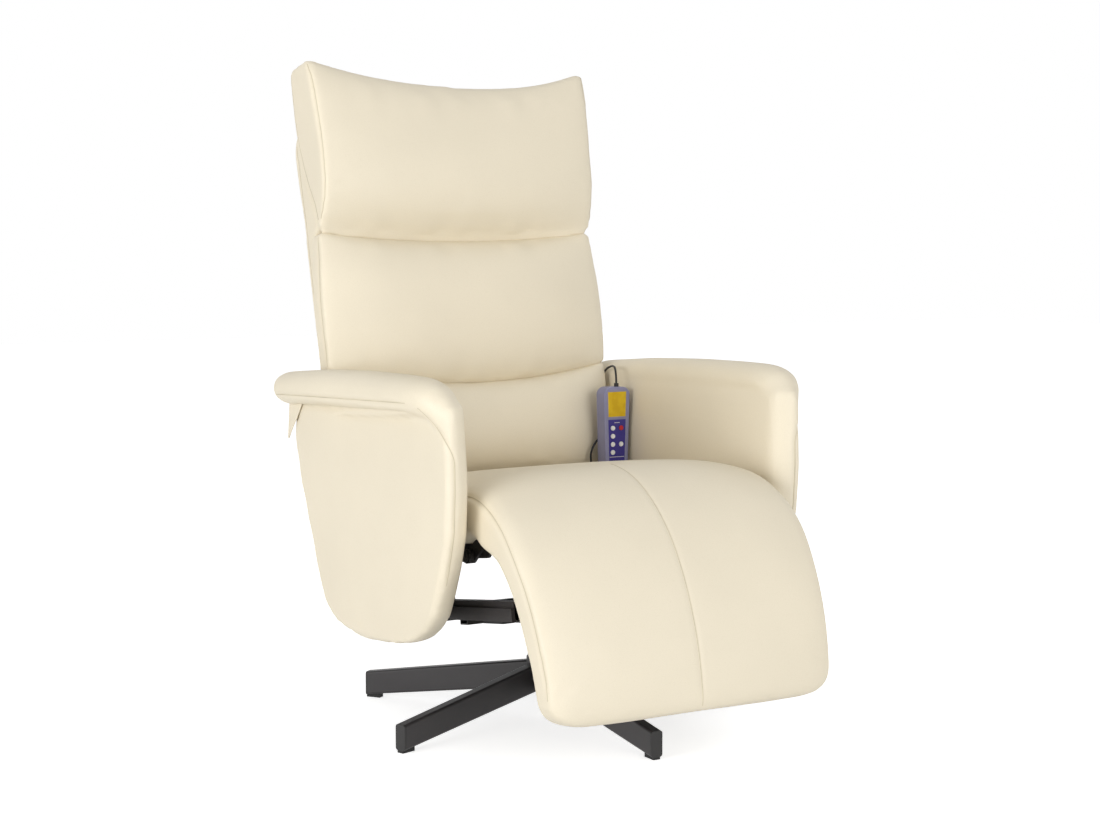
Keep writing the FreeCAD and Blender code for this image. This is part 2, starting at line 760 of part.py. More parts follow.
def seat_pad():
    up = frame_vector(0, 0, 1) - frame_vector(0, 0, 0)
    wires = []
    for along, share in SEAT_ROUND_SHARES:
        base = frame_vector(0, SEAT_REAR - along * SEAT_END_ROUND, SEAT_BOARD_TOP)
        wires.append(
            cushion_section(
                base, up, CUSHION_HALF_WIDTH, SEAT_EDGE * share, SEAT_CROWN * share, SHOULDER_INSET
            )
        )
    base = frame_vector(0, -SEAT_BEND_START, SEAT_BOARD_TOP)
    wires.append(cushion_section(base, up, CUSHION_HALF_WIDTH, SEAT_EDGE, SEAT_CROWN, SHOULDER_INSET))
    straight = solid_loft(wires[:3])
    middle = Part.makeLoft(wires[2:], True, True)
    bend = [wires[3]]
    for share in SEAT_BEND_SHARES:
        slope = SEAT_BEND_ANGLE * share - SEAT_TILT
        thickness = SEAT_THICKNESS + (LEGREST_THICKNESS - SEAT_THICKNESS) * share
        crown = SEAT_CROWN + (LEGREST_CROWN - SEAT_CROWN) * share
        y, z = on_arc(BEND_CENTRE, SEAT_BEND_RADIUS - thickness, slope)
        bend.append(
            cushion_section(
                V(0, y, z), outward(slope), CUSHION_HALF_WIDTH, thickness - crown, crown, SHOULDER_INSET
            )
        )
    front = solid_loft(bend)
    return straight.multiFuse([middle, front])


def hinge_slot(paths):
    """Room in a pad for straps along the paths, on the right and the left."""
    width = STRAP_WIDTH + 2 * SLOT_CLEARANCE
    slots = [strap(path, width, SLOT_LOW, SLOT_HIGH) for path in paths]
    return slots + [mirrored(slot) for slot in slots]


def crank_sweep():
    """The room that the leg rest's crank sweeps through in the seat."""
    last = CRANK_ANGLE - RECLINE_RANGE
    fan = [LEGREST_PIVOT]
    for bearing in (CRANK_ANGLE, (CRANK_ANGLE + last) / 2, last):
        fan.append(
            (
                LEGREST_PIVOT[0] + SLOT_REACH * sine(bearing),
                LEGREST_PIVOT[1] - SLOT_REACH * cosine(bearing),
            )
        )
    return side_prism(fan, SLOT_LOW, SLOT_HIGH)


BRACKET_FOOT = frame_point(-SEAT_BOARD_FRONT + STRAP_WIDTH, SEAT_BOARD_TOP - STRAP_WIDTH / 2)
BRACKET_HEEL = frame_point(-SEAT_BOARD_FRONT + 3 * STRAP_WIDTH, SEAT_BOARD_TOP - STRAP_WIDTH / 2)
seat_bracket_path = [BRACKET_HEEL, BRACKET_FOOT, LEGREST_PIVOT]
sweep = crank_sweep()
seat_slots = hinge_slot([seat_bracket_path, [LEGREST_PIVOT, ROD_FRONT]]) + [sweep, mirrored(sweep)]
seat_cushion = seat_pad().cut([ahead_of_seat] + seat_slots + [parts["seat_motors"]])
parts["seat_cushion"] = seat_cushion

# Leg rest: curved board, cushion and cranks


def legrest_board(overrun):
    """A bent board set flush into the back of the leg rest's cushion, or its cut with an overrun."""
    low = LEGREST_THICKNESS + overrun
    high = LEGREST_THICKNESS - LEGREST_BOARD_THICKNESS
    start = SPLIT_SLOPE + LEGREST_UPPER_ANGLE / 4
    upper_bend = (start, (start + KNEE_SLOPE) / 2, KNEE_SLOPE)
    lower_bend = (KNEE_SLOPE, (KNEE_SLOPE + END_SLOPE) / 2, END_SLOPE)
    bends = [upper_bend, lower_bend]

    def at(slope, depth):
        return across(legrest_point(slope, depth), -CRANK_LOW)

    front_arcs = [arc(*[at(slope, high) for slope in bend]) for bend in bends]
    rear_arcs = [arc(*[at(slope, low) for slope in bend]) for bend in bends]
    edges = front_arcs + rear_arcs
    edges.append(line(at(start, high), at(start, low)))
    edges.append(line(at(END_SLOPE, high), at(END_SLOPE, low)))
    face = Part.Face(Part.Wire(Part.__sortEdges__(edges)))
    return face.extrude(V(2 * CRANK_LOW, 0, 0))


def legrest_width(share):
    return CUSHION_HALF_WIDTH + (LEGREST_END_HALF_WIDTH - CUSHION_HALF_WIDTH) * share


def legrest_section(point, slope, half_width, share):
    edge = (LEGREST_THICKNESS - LEGREST_CROWN) * share
    crown = LEGREST_CROWN * share
    return cushion_section(V(0, *point), outward(slope), half_width, edge, crown, SHOULDER_INSET)


def legrest_pad():
    start = SPLIT_SLOPE + LEGREST_START_SHARE * LEGREST_UPPER_ANGLE
    slopes = [start]
    slopes += [SPLIT_SLOPE + share * LEGREST_UPPER_ANGLE for share in LEGREST_UPPER_SHARES]
    slopes += [KNEE_SLOPE + share * LEGREST_LOWER_ANGLE for share in LEGREST_LOWER_SHARES]
    wires = []
    for slope in slopes:
        down = max(0, (slope - SPLIT_SLOPE) / (END_SLOPE - SPLIT_SLOPE))
        point = legrest_point(slope, LEGREST_THICKNESS)
        wires.append(legrest_section(point, slope, legrest_width(down ** 2), 1))
    end_wires = []
    for along, share in LEGREST_END_SHARES:
        drop = LEGREST_TAIL + along * LEGREST_END_ROUND
        depth = LEGREST_THICKNESS * (1 + share) / 2
        half_width = LEGREST_END_HALF_WIDTH * (1 + share) / 2
        end_wires.append(legrest_section(tail_point(drop, depth), END_SLOPE, half_width, share))
    tail = Part.makeLoft([wires[-1], end_wires[0]], True, True)
    return solid_loft(wires).multiFuse([tail, solid_loft(end_wires)])


legrest_hold = [
    legrest_point(SPLIT_SLOPE + share * LEGREST_UPPER_ANGLE, LEGREST_THICKNESS - LEGREST_BOARD_THICKNESS / 2)
    for share in LEVER_HOLD_SHARES
]
crank_path = [ROD_FRONT, LEGREST_PIVOT] + legrest_hold
legrest_slots = hinge_slot([crank_path, [BRACKET_FOOT, LEGREST_PIVOT]])
legrest_cushion = legrest_pad().cut([behind_legrest, legrest_board(OVERRUN)] + legrest_slots)
parts["legrest_board"] = legrest_board(0)
parts["legrest_cushion"] = legrest_cushion


def crank(path, pivot, rod_end):
    """A bell crank that turns on a hinge stud and carries the stud of a push rod."""
    plate_shape = strap(path, STRAP_WIDTH, CRANK_LOW, CRANK_HIGH)
    drilled = plate_shape.cut(eye_hole(pivot, STUD_RADIUS + RUNNING_CLEARANCE))
    return drilled.fuse(stud(rod_end, ROD_STUD_RADIUS, CRANK_LOW, ROD_HEAD_LOW, ROD_HEAD_LOW))


def hinge_bracket(path, pivot):
    """A strap on the seat board's edge, with the stud that a crank turns on."""
    plate_shape = strap(path, STRAP_WIDTH, HINGE_LOW, HINGE_HIGH)
    head_low = CRANK_HIGH + STRAP_GAP
    return plate_shape.fuse(stud(pivot, STUD_RADIUS, HINGE_LOW, head_low, head_low))


parts["legrest_cranks"] = pair(crank(crank_path, LEGREST_PIVOT, ROD_FRONT))
parts["legrest_brackets"] = pair(hinge_bracket(seat_bracket_path, LEGREST_PIVOT))

# Back hinge, back cranks and push rods

rear_foot = frame_point(SEAT_BOARD_REAR - STRAP_WIDTH, SEAT_BOARD_TOP - STRAP_WIDTH / 2)
rear_heel = frame_point(SEAT_BOARD_REAR - 3 * STRAP_WIDTH, SEAT_BOARD_TOP - STRAP_WIDTH / 2)
parts["back_brackets"] = pair(hinge_bracket([rear_heel, rear_foot, BACK_PIVOT], BACK_PIVOT))

back_hold = back_point(BACK_LEVER_TOP - STRAP_WIDTH / 2, BACK_PIVOT_SETBACK)
parts["back_cranks"] = pair(crank([ROD_REAR, BACK_PIVOT, back_hold], BACK_PIVOT, ROD_REAR))


def push_rod():
    bar = strap([ROD_FRONT, ROD_REAR], ROD_HEIGHT, ROD_LOW, ROD_HIGH)
    eyes = []
    for end in (ROD_FRONT, ROD_REAR):
        eyes.append(rod_between(STRAP_WIDTH / 2, across(end, ROD_LOW), across(end, ROD_HIGH)))
    front_hole = eye_hole(ROD_FRONT, ROD_STUD_RADIUS + OPEN_PIVOT_CLEARANCE)
    rear_hole = eye_hole(ROD_REAR, ROD_STUD_RADIUS + RUNNING_CLEARANCE)
    return bar.multiFuse(eyes).removeSplitter().cut([front_hole, rear_hole])


parts["push_rods"] = pair(push_rod())

# Back rest: board, three cushions, padded rear cover


def back_cushion(bottom, top):
    """A pillow on the back's plane, drawn in at its upper and lower seams."""
    wires = []
    for along, edge_share, crown_share in PILLOW_SHARES:
        base = V(0, BACK_PLANE, bottom + (top - bottom) * along)
        wires.append(
            cushion_section(
                base,
                Y_AXIS * -1,
                BACK_HALF_WIDTH,
                BACK_CUSHION_THICKNESS * edge_share,
                BACK_CROWN * crown_share,
                BACK_SHOULDER_INSET,
            )
        )
    return solid_loft(wires)


def head_cushion():
    """The head pillow, thickest at its middle, leaning back, with a sagging top edge."""
    wires = []
    for along, edge_share, crown_share, lean_share in HEAD_SHARES:
        base = V(0, BACK_PLANE + HEAD_LEAN * lean_share, MIDDLE_TOP + (HEAD_TOP - MIDDLE_TOP) * along)
        wires.append(
            cushion_section(
                base,
                Y_AXIS * -1,
                BACK_HALF_WIDTH,
                HEAD_THICKNESS * edge_share,
                BACK_CROWN * crown_share,
                BACK_SHOULDER_INSET,
            )
        )
    sag_radius = (BACK_HALF_WIDTH ** 2 + HEAD_TOP_SAG ** 2) / (2 * HEAD_TOP_SAG)
    centre = V(0, -HEAD_THICKNESS, HEAD_TOP - HEAD_TOP_SAG + sag_radius)
    hollow = Part.makeCylinder(sag_radius, 3 * HEAD_THICKNESS, centre, Y_AXIS)
    return solid_loft(wires).cut(hollow)


def rear_cover():
    wires = []
    height = COVER_TOP + COVER_DROP
    for along, edge_share, crown_share, lean_share in COVER_SHARES:
        base = V(0, BACK_PLANE + HEAD_LEAN * lean_share, COVER_TOP - height * (1 - along))
        wires.append(
            cushion_section(
                base,
                Y_AXIS,
                COVER_HALF_WIDTH,
                COVER_THICKNESS * edge_share,
                COVER_CROWN * crown_share,
                SHOULDER_INSET,
            )
        )
    return solid_loft(wires[:COVER_LOWER_COUNT]).fuse(solid_loft(wires[COVER_LOWER_COUNT - 1:]))


back_board = block(
    (-CRANK_LOW, CRANK_LOW),
    (BACK_PLANE, BACK_PLANE + BACK_BOARD_THICKNESS),
    (-BACK_BOARD_DROP, MIDDLE_TOP),
)
crank_slot = block(
    (CRANK_LOW, CRANK_HIGH + STRAP_GAP),
    (BACK_PIVOT_SETBACK - STRAP_WIDTH / 2 - STRAP_GAP, BACK_PIVOT_SETBACK + STRAP_WIDTH / 2 + STRAP_GAP),
    (-COVER_DROP - OVERRUN, BACK_LEVER_TOP + STRAP_GAP),
)
head = head_cushion()
middle_motor = motor(V(BACK_MOTOR_SPREAD, BACK_PLANE, MIDDLE_MOTOR_PLACE), Y_AXIS * -1)
head_motor = motor(V(BACK_MOTOR_SPREAD, BACK_PLANE, HEAD_MOTOR_PLACE), Y_AXIS * -1)
back_motors = [middle_motor, head_motor, mirrored(middle_motor), mirrored(head_motor)]
cover = rear_cover().cut([head, back_board, crank_slot, mirrored(crank_slot)])
parts["back_board"] = leaned(back_board)
parts["back_motors"] = Part.Compound([leaned(one) for one in back_motors])
parts["lumbar_cushion"] = leaned(back_cushion(-BACK_BOTTOM, LUMBAR_TOP))
parts["middle_cushion"] = leaned(back_cushion(LUMBAR_TOP, MIDDLE_TOP).cut(back_motors))
parts["head_cushion"] = leaned(head.cut(back_motors))
parts["back_cover"] = leaned(cover)

# Arms

ARM_BOARD_LOW = ARM_INNER_FACE + ARM_INNER_PAD
ARM_BOARD_HIGH = ARM_BOARD_LOW + ARM_BOARD
ARM_OUTER_FACE = ARM_BOARD_HIGH + ARM_OUTER_PAD
PAD_RADII = [ARM_FRONT_ROUND, ARM_KNEE_ROUND, ARM_PAD_EDGE, ARM_PAD_EDGE, ARM_REAR_ROUND]


def arm_outline(x, inset):
    """The arm's side outline at x, shrunk all round but at its top."""
    points = [
        V(x, -ARM_FOOT_FRONT + inset, ARM_BOTTOM_FRONT + inset),
        V(x, -ARM_FRONT + ARM_KNEE_SETBACK + inset, ARM_KNEE_HEIGHT),
        V(x, -ARM_FRONT + inset, ARM_SHOULDER),
        V(x, ARM_REAR_TOP - inset, ARM_SHOULDER),
        V(x, ARM_REAR_BOTTOM - inset, ARM_BOTTOM_REAR + inset),
    ]
    return rounded_wire(points, PAD_RADII)


def arm_slab(low, high, inset, soft_face):
    """A slab of the arm between two x values, with its soft face's edge rounded."""
    slab = Part.Face(arm_outline(low, inset)).extrude(V(high - low, 0, 0))
    if soft_face is None:
        return slab
    rim = []
    for edge in slab.Edges:
        if all(abs(vertex.X - soft_face) < RUNNING_CLEARANCE for vertex in edge.Vertexes):
            if min(vertex.Z for vertex in edge.Vertexes) < ARM_SHOULDER - ARM_PAD_EDGE - RUNNING_CLEARANCE:
                rim.append(edge)
    return slab.makeFillet(ARM_PAD_EDGE, rim)


def roll_section(y, rise_share, lip_share):
    inner = ARM_INNER_FACE + ROLL_INSET
    rise = ROLL_RISE * rise_share
    lip = ARM_OUTER_FACE + ROLL_LIP * lip_share
    crest = inner + (ARM_OUTER_FACE - inner) * ROLL_CREST_SHARE

    def point(x, height_share):
        return V(x, y, ARM_SHOULDER + rise * height_share)

    start = point(inner, 0)
    top = point(crest, 1)
    edge = point(lip, ROLL_LIP_SHARE)
    end = point(ARM_OUTER_FACE, 0)
    inner_middle = point(inner + (crest - inner) * ROLL_INNER_SHARES[0], ROLL_INNER_SHARES[1])
    outer_middle = point(crest + (lip - crest) * ROLL_OUTER_SHARES[0], ROLL_OUTER_SHARES[1])
    under_middle = point(lip - (lip - ARM_OUTER_FACE) * ROLL_UNDER_SHARES[0], ROLL_UNDER_SHARES[1])
    edges = [
        line(end, start),
        arc(start, inner_middle, top),
        arc(top, outer_middle, edge),
        arc(edge, under_middle, end),
    ]
    return Part.Wire(edges)


def arm_roll():
    wires = []
    for along, rise_share, lip_share in ROLL_SHARES:
        y = along * (ARM_REAR_TOP if along > 0 else ARM_FRONT)
        wires.append(roll_section(y, rise_share, lip_share))
    return solid_loft(wires)


BRACKET_PLACES = [-BRACKET_FRONT_PLACE, BRACKET_REAR_PLACE]
flange_half = BRACKET_FLANGE / 2
tube_half = TUBE_SIZE / 2


def arm_bracket(place):
    """A stub tube from the rail with a flange against the arm's board."""
    stub = block(
        (RAIL_OUTER + STRIP_THICKNESS, ARM_BOARD_LOW - BRACKET_PLATE),
        (place - tube_half, place + tube_half),
        (-tube_half, tube_half),
    )
    flange = block(
        (ARM_BOARD_LOW - BRACKET_PLATE, ARM_BOARD_LOW),
        (place - flange_half, place + flange_half),
        (-flange_half, flange_half),
    )
    return stub.fuse(flange)


def bracket_room(place):
    reach = flange_half + BRACKET_CLEARANCE
    return block((RAIL_OUTER, ARM_BOARD_LOW), (place - reach, place + reach), (-reach, reach))


arm_bolt_starts = []
for place in BRACKET_PLACES:
    for s_sign in (-1, 1):
        arm_bolt_starts.append(V(ARM_BOARD_LOW - BRACKET_PLATE, place + s_sign * BOLT_SPACING / 2, 0))
arm_bolts = [bolt(start, X_AXIS, BRACKET_PLATE + BOLT_GRIP) for start in arm_bolt_starts]
arm_holes = [bolt_hole(start, X_AXIS, BOLT_GRIP) for start in arm_bolt_starts]
tilted_holes = [tilted(hole) for hole in arm_holes]

right_brackets = [tilted(arm_bracket(place).cut(arm_holes)) for place in BRACKET_PLACES]
parts["arm_brackets"] = Part.Compound(right_brackets + [mirrored(one) for one in right_brackets])
right_bolts = [tilted(one) for one in arm_bolts]
frame_bolts = [tilted(one) for one in plate_bolts]
parts["frame_bolts"] = Part.Compound(frame_bolts + right_bolts + [mirrored(one) for one in right_bolts])

inner_pad = arm_slab(ARM_INNER_FACE, ARM_BOARD_LOW, 0, ARM_INNER_FACE)
right_arm = {
    "arm_board": arm_slab(ARM_BOARD_LOW, ARM_BOARD_HIGH, ARM_BOARD_INSET, None).cut(tilted_holes),
    "arm_inner_pad": inner_pad.cut([tilted(bracket_room(place)) for place in BRACKET_PLACES]),
    "arm_outer_pad": arm_slab(ARM_BOARD_HIGH, ARM_OUTER_FACE, 0, ARM_OUTER_FACE),
    "arm_roll": arm_roll(),
}
for name, shape in right_arm.items():
    parts[name + "_right"] = shape
    parts[name + "_left"] = mirrored(shape)

# Control box under the seat board

box_x = (BOX_PLACE - BOX_LENGTH / 2, BOX_PLACE + BOX_LENGTH / 2)
box_s = (-BOX_WIDTH / 2, BOX_WIDTH / 2)
box_h = (SEAT_BOARD_BOTTOM - BOX_HEIGHT, SEAT_BOARD_BOTTOM)
box_room = block(
    (box_x[0] + BOX_WALL, box_x[1] - BOX_WALL),
    (box_s[0] + BOX_WALL, box_s[1] - BOX_WALL),
    (box_h[0] - OVERRUN, box_h[1] - BOX_WALL),
)
inlet_start = V(BOX_PLACE, box_s[1] - BOX_WALL, (box_h[0] + box_h[1]) / 2)
inlet_body = Part.makeCylinder(INLET_RADIUS, INLET_LENGTH, inlet_start, Y_AXIS)
inlet_bore = Part.makeCylinder(INLET_BORE, INLET_LENGTH, inlet_start + V(0, BOX_WALL, 0), Y_AXIS)
parts["control_box"] = tilted(block(box_x, box_s, box_h).cut(box_room).cut(inlet_body))
parts["control_box_lid"] = tilted(block(box_x, box_s, (box_h[0] - BOX_LID, box_h[0])))
parts["power_inlet"] = tilted(inlet_body.cut(inlet_bore))

# Handset, in its own frame: width along x, depth along y from its face, height along z


def seat_surface(x):
    """Height of the seat's crowned top above its board at x."""
    half = CUSHION_HALF_WIDTH - SHOULDER_INSET
    radius = (half ** 2 + SEAT_CROWN ** 2) / (2 * SEAT_CROWN)
    return SEAT_EDGE + SEAT_CROWN - radius + math.sqrt(radius ** 2 - x ** 2)


def handset_height():
    """Height of the handset's foot, whose inner front corner meets the crowned seat."""
    h = SEAT_BOARD_TOP + seat_surface(HANDSET_PLACE - HANDSET_FOOT_WIDTH / 2)
    s = (HANDSET_FRONT - h * sine(SEAT_TILT)) / cosine(SEAT_TILT)
    return frame_point(s, h)[1] + HANDSET_SEAT_GAP


HANDSET_HEIGHT = handset_height()


def in_hand(shape):
    placed = shape.copy()
    placed.translate(V(HANDSET_PLACE, HANDSET_FRONT, HANDSET_HEIGHT))
    return placed


def tapered_corners(foot, top, low, high, depth):
    return [V(-foot, depth, low), V(foot, depth, low), V(top, depth, high), V(-top, depth, high)]


def handset_slab(inset, depth_low, depth_high):
    """A slice of the handset's tapered outline, shrunk by an inset."""
    foot = HANDSET_FOOT_WIDTH / 2 - inset
    top = HANDSET_TOP_WIDTH / 2 - inset
    low = inset
    high = HANDSET_LENGTH - inset
    corners = tapered_corners(foot, top, low, high, depth_low)
    small = HANDSET_EDGE
    wire = rounded_wire(corners, [small, small, HANDSET_CORNER - inset, HANDSET_CORNER - inset])
    return Part.Face(wire).extrude(V(0, depth_high - depth_low, 0))


def tapered_window(centre, width, height, grow, depth_low, depth_high):
    """A window cut that follows the handset's taper."""
    slope = (HANDSET_TOP_WIDTH - HANDSET_FOOT_WIDTH) / HANDSET_LENGTH / 2
    high = centre + height / 2 + grow
    low = centre - height / 2 - grow
    top = width / 2 + grow
    foot = top - slope * (high - low)
    corners = tapered_corners(foot, top, low, high, depth_low)
    wire = Part.makePolygon(corners + corners[:1])
    return Part.Face(wire).extrude(V(0, depth_high - depth_low, 0))


def handset_front_case():
    shell = handset_slab(0, 0, HANDSET_SPLIT)
    face_edges = [edge for edge in shell.Edges if edge.BoundBox.YMax < RUNNING_CLEARANCE]
    shell = shell.makeFillet(HANDSET_EDGE / 2, face_edges)
    hollow = handset_slab(HANDSET_WALL, HANDSET_WALL, HANDSET_SPLIT + OVERRUN)
    window = tapered_window(SCREEN_CENTRE, SCREEN_WIDTH, SCREEN_HEIGHT, 0, -OVERRUN, HANDSET_SPLIT)
    recess = panel_slab()
    return shell.cut([hollow, window, recess] + button_holes())


def handset_back_case():
    shell = handset_slab(0, HANDSET_SPLIT, HANDSET_DEPTH)
    back_edges = [edge for edge in shell.Edges if edge.BoundBox.YMin > HANDSET_DEPTH - RUNNING_CLEARANCE]
    shell = shell.makeFillet(HANDSET_EDGE, back_edges)
    wall = HANDSET_WALL + HANDSET_LEDGE
    hollow = handset_slab(wall, HANDSET_SPLIT - OVERRUN, HANDSET_DEPTH - wall)
    return shell.cut(hollow)


def panel_slab():
    centre = PANEL_TOP - PANEL_HEIGHT / 2
    return tapered_window(centre, PANEL_WIDTH, PANEL_HEIGHT, 0, 0, PANEL_THICKNESS)


def handset_screen():
    pane = tapered_window(SCREEN_CENTRE, SCREEN_WIDTH, SCREEN_HEIGHT, 0, 0, HANDSET_WALL)
    rim = tapered_window(
        SCREEN_CENTRE, SCREEN_WIDTH, SCREEN_HEIGHT, SCREEN_FLANGE, HANDSET_WALL, HANDSET_WALL + SCREEN_DEPTH
    )
    return pane.fuse(rim)


BUTTON_REACH = HANDSET_SPLIT - CIRCUIT_THICKNESS - BUTTON_TRAVEL - BUTTON_CLEARANCE
BUTTON_SPOTS = {
    "power": (1, 0),
    "mode": (-1, 0),
    "speed": (-1, 1),
    "zone_back": (-1, 2),
    "zone_seat": (-1, 3),
    "heat": (1, 2),
}


def button_axis(name):
    column, row = BUTTON_SPOTS[name]
    return V(column * BUTTON_COLUMN, 0, BUTTON_FIRST_ROW - row * BUTTON_ROW_PITCH)


def button_holes():
    radius = BUTTON_RADIUS + BUTTON_CLEARANCE
    starts = [button_axis(name) - V(0, OVERRUN, 0) for name in BUTTON_SPOTS]
    return [Part.makeCylinder(radius, 2 * OVERRUN, start, Y_AXIS) for start in starts]


def button(name):
    """A domed key with a flange that keeps it behind the face."""
    axis = button_axis(name)
    stem = Part.makeCylinder(BUTTON_RADIUS, BUTTON_RISE + BUTTON_REACH, axis - V(0, BUTTON_RISE, 0), Y_AXIS)
    rim = [edge for edge in stem.Edges if edge.BoundBox.YMax < axis.y - BUTTON_RISE + RUNNING_CLEARANCE]
    stem = stem.makeFillet(BUTTON_RISE / 2, rim)
    flange_start = axis + V(0, HANDSET_WALL + BUTTON_CLEARANCE, 0)
    flange_radius = BUTTON_RADIUS + BUTTON_CLEARANCE + BUTTON_FLANGE
    return stem.fuse(Part.makeCylinder(flange_radius, BUTTON_FLANGE_DEPTH, flange_start, Y_AXIS))


def handset_gland():
    start = V(GLAND_OFFSET, HANDSET_DEPTH / 2, HANDSET_LENGTH)
    return Part.makeCylinder(GLAND_RADIUS, GLAND_LENGTH, start, Z_AXIS)


parts["handset_front"] = in_hand(handset_front_case())
parts["handset_back"] = in_hand(handset_back_case())
parts["handset_screen"] = in_hand(handset_screen())
parts["handset_panel"] = in_hand(panel_slab().cut(button_holes()))
parts["handset_circuit"] = in_hand(
    handset_slab(HANDSET_WALL + RUNNING_CLEARANCE, HANDSET_SPLIT - CIRCUIT_THICKNESS, HANDSET_SPLIT)
)
parts["handset_gland"] = in_hand(handset_gland())
for name in BUTTON_SPOTS:
    parts["button_" + name] = in_hand(button(name))

# Handset cord: straight runs joined by tangent arcs

CORD_START = V(
    HANDSET_PLACE + GLAND_OFFSET,
    HANDSET_FRONT + HANDSET_DEPTH / 2,
    HANDSET_HEIGHT + HANDSET_LENGTH + GLAND_LENGTH,
)
BEND_SHARE = 0.45


def cord_path(points):
    """The cord's centre line, and the radius of each of its bends."""
    edges = []
    radii = []
    here = points[0]
    for before, corner, after in zip(points, points[1:], points[2:]):
        back = before - corner
        ahead = after - corner
        run = BEND_SHARE * min(back.Length, ahead.Length)
        half = back.getAngle(ahead) / 2
        radius = run * math.tan(half)
        back.normalize()
        ahead.normalize()
        start = corner + back * run
        end = corner + ahead * run
        deep = radius / math.sin(half) - radius
        middle = corner + (back + ahead).normalize() * deep
        edges.append(line(here, start))
        edges.append(arc(start, middle, end))
        radii.append(radius)
        here = end
    edges.append(line(here, points[-1]))
    return Part.Wire(edges), radii


cord_points = [CORD_START] + [V(*point) for point in CORD_ROUTE] + [CORD_END]
cord_line, cord_radii = cord_path(cord_points)
cord_face = Part.Wire(Part.makeCircle(CORD_RADIUS, cord_points[0], cord_points[1] - cord_points[0]))
handset_cord = cord_line.makePipeShell([cord_face], True, True)
parts["handset_cord"] = handset_cord
tube_volume = math.pi * CORD_RADIUS ** 2 * cord_line.Length
print("cord length", round(cord_line.Length, 1), "bend radii", [round(radius, 1) for radius in cord_radii])
print("cord volume over section times length", round(handset_cord.Volume / tube_volume, 4))

os.makedirs("parts", exist_ok=True)
for name, shape in parts.items():
    shape.exportStep("parts/" + name + ".step")
print("nodes", len(parts))
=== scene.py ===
"""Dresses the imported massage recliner: padded covers, handset cord, finishes and a plain stage."""

import json
import math

import bpy
import numpy as np
from bpy.props import FloatProperty, FloatVectorProperty, IntProperty, PointerProperty
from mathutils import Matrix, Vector, kdtree


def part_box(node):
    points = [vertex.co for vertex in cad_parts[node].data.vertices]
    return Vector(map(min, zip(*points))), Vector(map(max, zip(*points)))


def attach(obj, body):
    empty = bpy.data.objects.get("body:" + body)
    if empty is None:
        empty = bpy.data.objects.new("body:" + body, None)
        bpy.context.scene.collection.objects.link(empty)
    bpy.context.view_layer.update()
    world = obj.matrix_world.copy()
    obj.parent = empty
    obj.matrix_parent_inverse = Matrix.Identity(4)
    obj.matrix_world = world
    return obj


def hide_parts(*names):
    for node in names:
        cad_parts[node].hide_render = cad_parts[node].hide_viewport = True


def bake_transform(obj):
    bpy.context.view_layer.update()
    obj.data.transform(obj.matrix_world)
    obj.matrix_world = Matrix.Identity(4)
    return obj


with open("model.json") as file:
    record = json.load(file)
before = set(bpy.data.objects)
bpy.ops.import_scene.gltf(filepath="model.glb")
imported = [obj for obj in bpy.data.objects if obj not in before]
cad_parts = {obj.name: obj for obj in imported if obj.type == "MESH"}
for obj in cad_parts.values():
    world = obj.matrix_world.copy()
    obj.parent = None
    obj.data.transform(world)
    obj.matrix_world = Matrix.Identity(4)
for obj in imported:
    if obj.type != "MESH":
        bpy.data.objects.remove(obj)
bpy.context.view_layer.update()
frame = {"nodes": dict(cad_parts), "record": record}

bl_info = {
    "name": "Massage recliner",
    "version": (1, 0, 0),
    "blender": (4, 5, 0),
    "location": "View3D > Sidebar > Recliner",
    "description": "Builds the padded covers, the handset cord, the finishes and the stage of a massage recliner",
    "category": "Object",
}

SEAT_TILT = math.radians(8.3)
FRAME_HEIGHT = 0.196
BACK_LEAN = math.radians(12.0)
BACK_FOOT = (0.216, 0.400)
SIDES = {"right": 1, "left": -1}
SIDE_LOOK_OUT = 0.33
SEAM_FADE_ROWS = 30
# Half width of the painted shade in a seam, as a share of the seam's half width.
SEAM_SHADE_SHARE = 0.35
THREAD_RADIUS = 0.0008
THREAD_SINK = 0.0002


class ReclinerSettings(bpy.types.PropertyGroup):
    leather: FloatVectorProperty(
        name="Leather", description="Colour of the faux leather", subtype="COLOR", size=3,
        default=(0.82, 0.743, 0.588), min=0, max=1,
    )
    # Leather shade: the colour of the grain's pits, and of the painted shade in the seams and creases.
    leather_shade: FloatVectorProperty(
        name="Leather shade", description="Darker tone in the leather's grain and seams", subtype="COLOR", size=3,
        default=(0.63, 0.555, 0.40), min=0, max=1,
    )
    metal: FloatVectorProperty(
        name="Metal", description="Colour of the painted base", subtype="COLOR", size=3,
        default=(0.027, 0.024, 0.025), min=0, max=1,
    )
    voxel: FloatProperty(
        name="Cover mesh", description="Mesh size of the padded covers", unit="LENGTH", default=0.006, min=0.004,
    )
    pressure: FloatProperty(name="Stuffing", description="Pressure of the stuffing", default=4.0, min=0)
    swell: FloatProperty(
        name="Swell", description="Most that a cover may swell", unit="LENGTH", default=0.022, min=0,
    )
    sim_frames: IntProperty(name="Settling steps", description="Steps of the cover's settling", default=20, min=1)
    seam_depth: FloatProperty(
        name="Seam depth", description="Depth of a sewn seam", unit="LENGTH", default=0.0028, min=0,
    )
    seam_width: FloatProperty(
        name="Seam width", description="Half width of a sewn seam", unit="LENGTH", default=0.0045, min=0.001,
    )


def settings():
    return bpy.context.scene.recliner


# Mesh tools


def deselect():
    bpy.ops.object.select_all(action="DESELECT")


def activate(piece):
    deselect()
    piece.select_set(True)
    bpy.context.view_layer.objects.active = piece


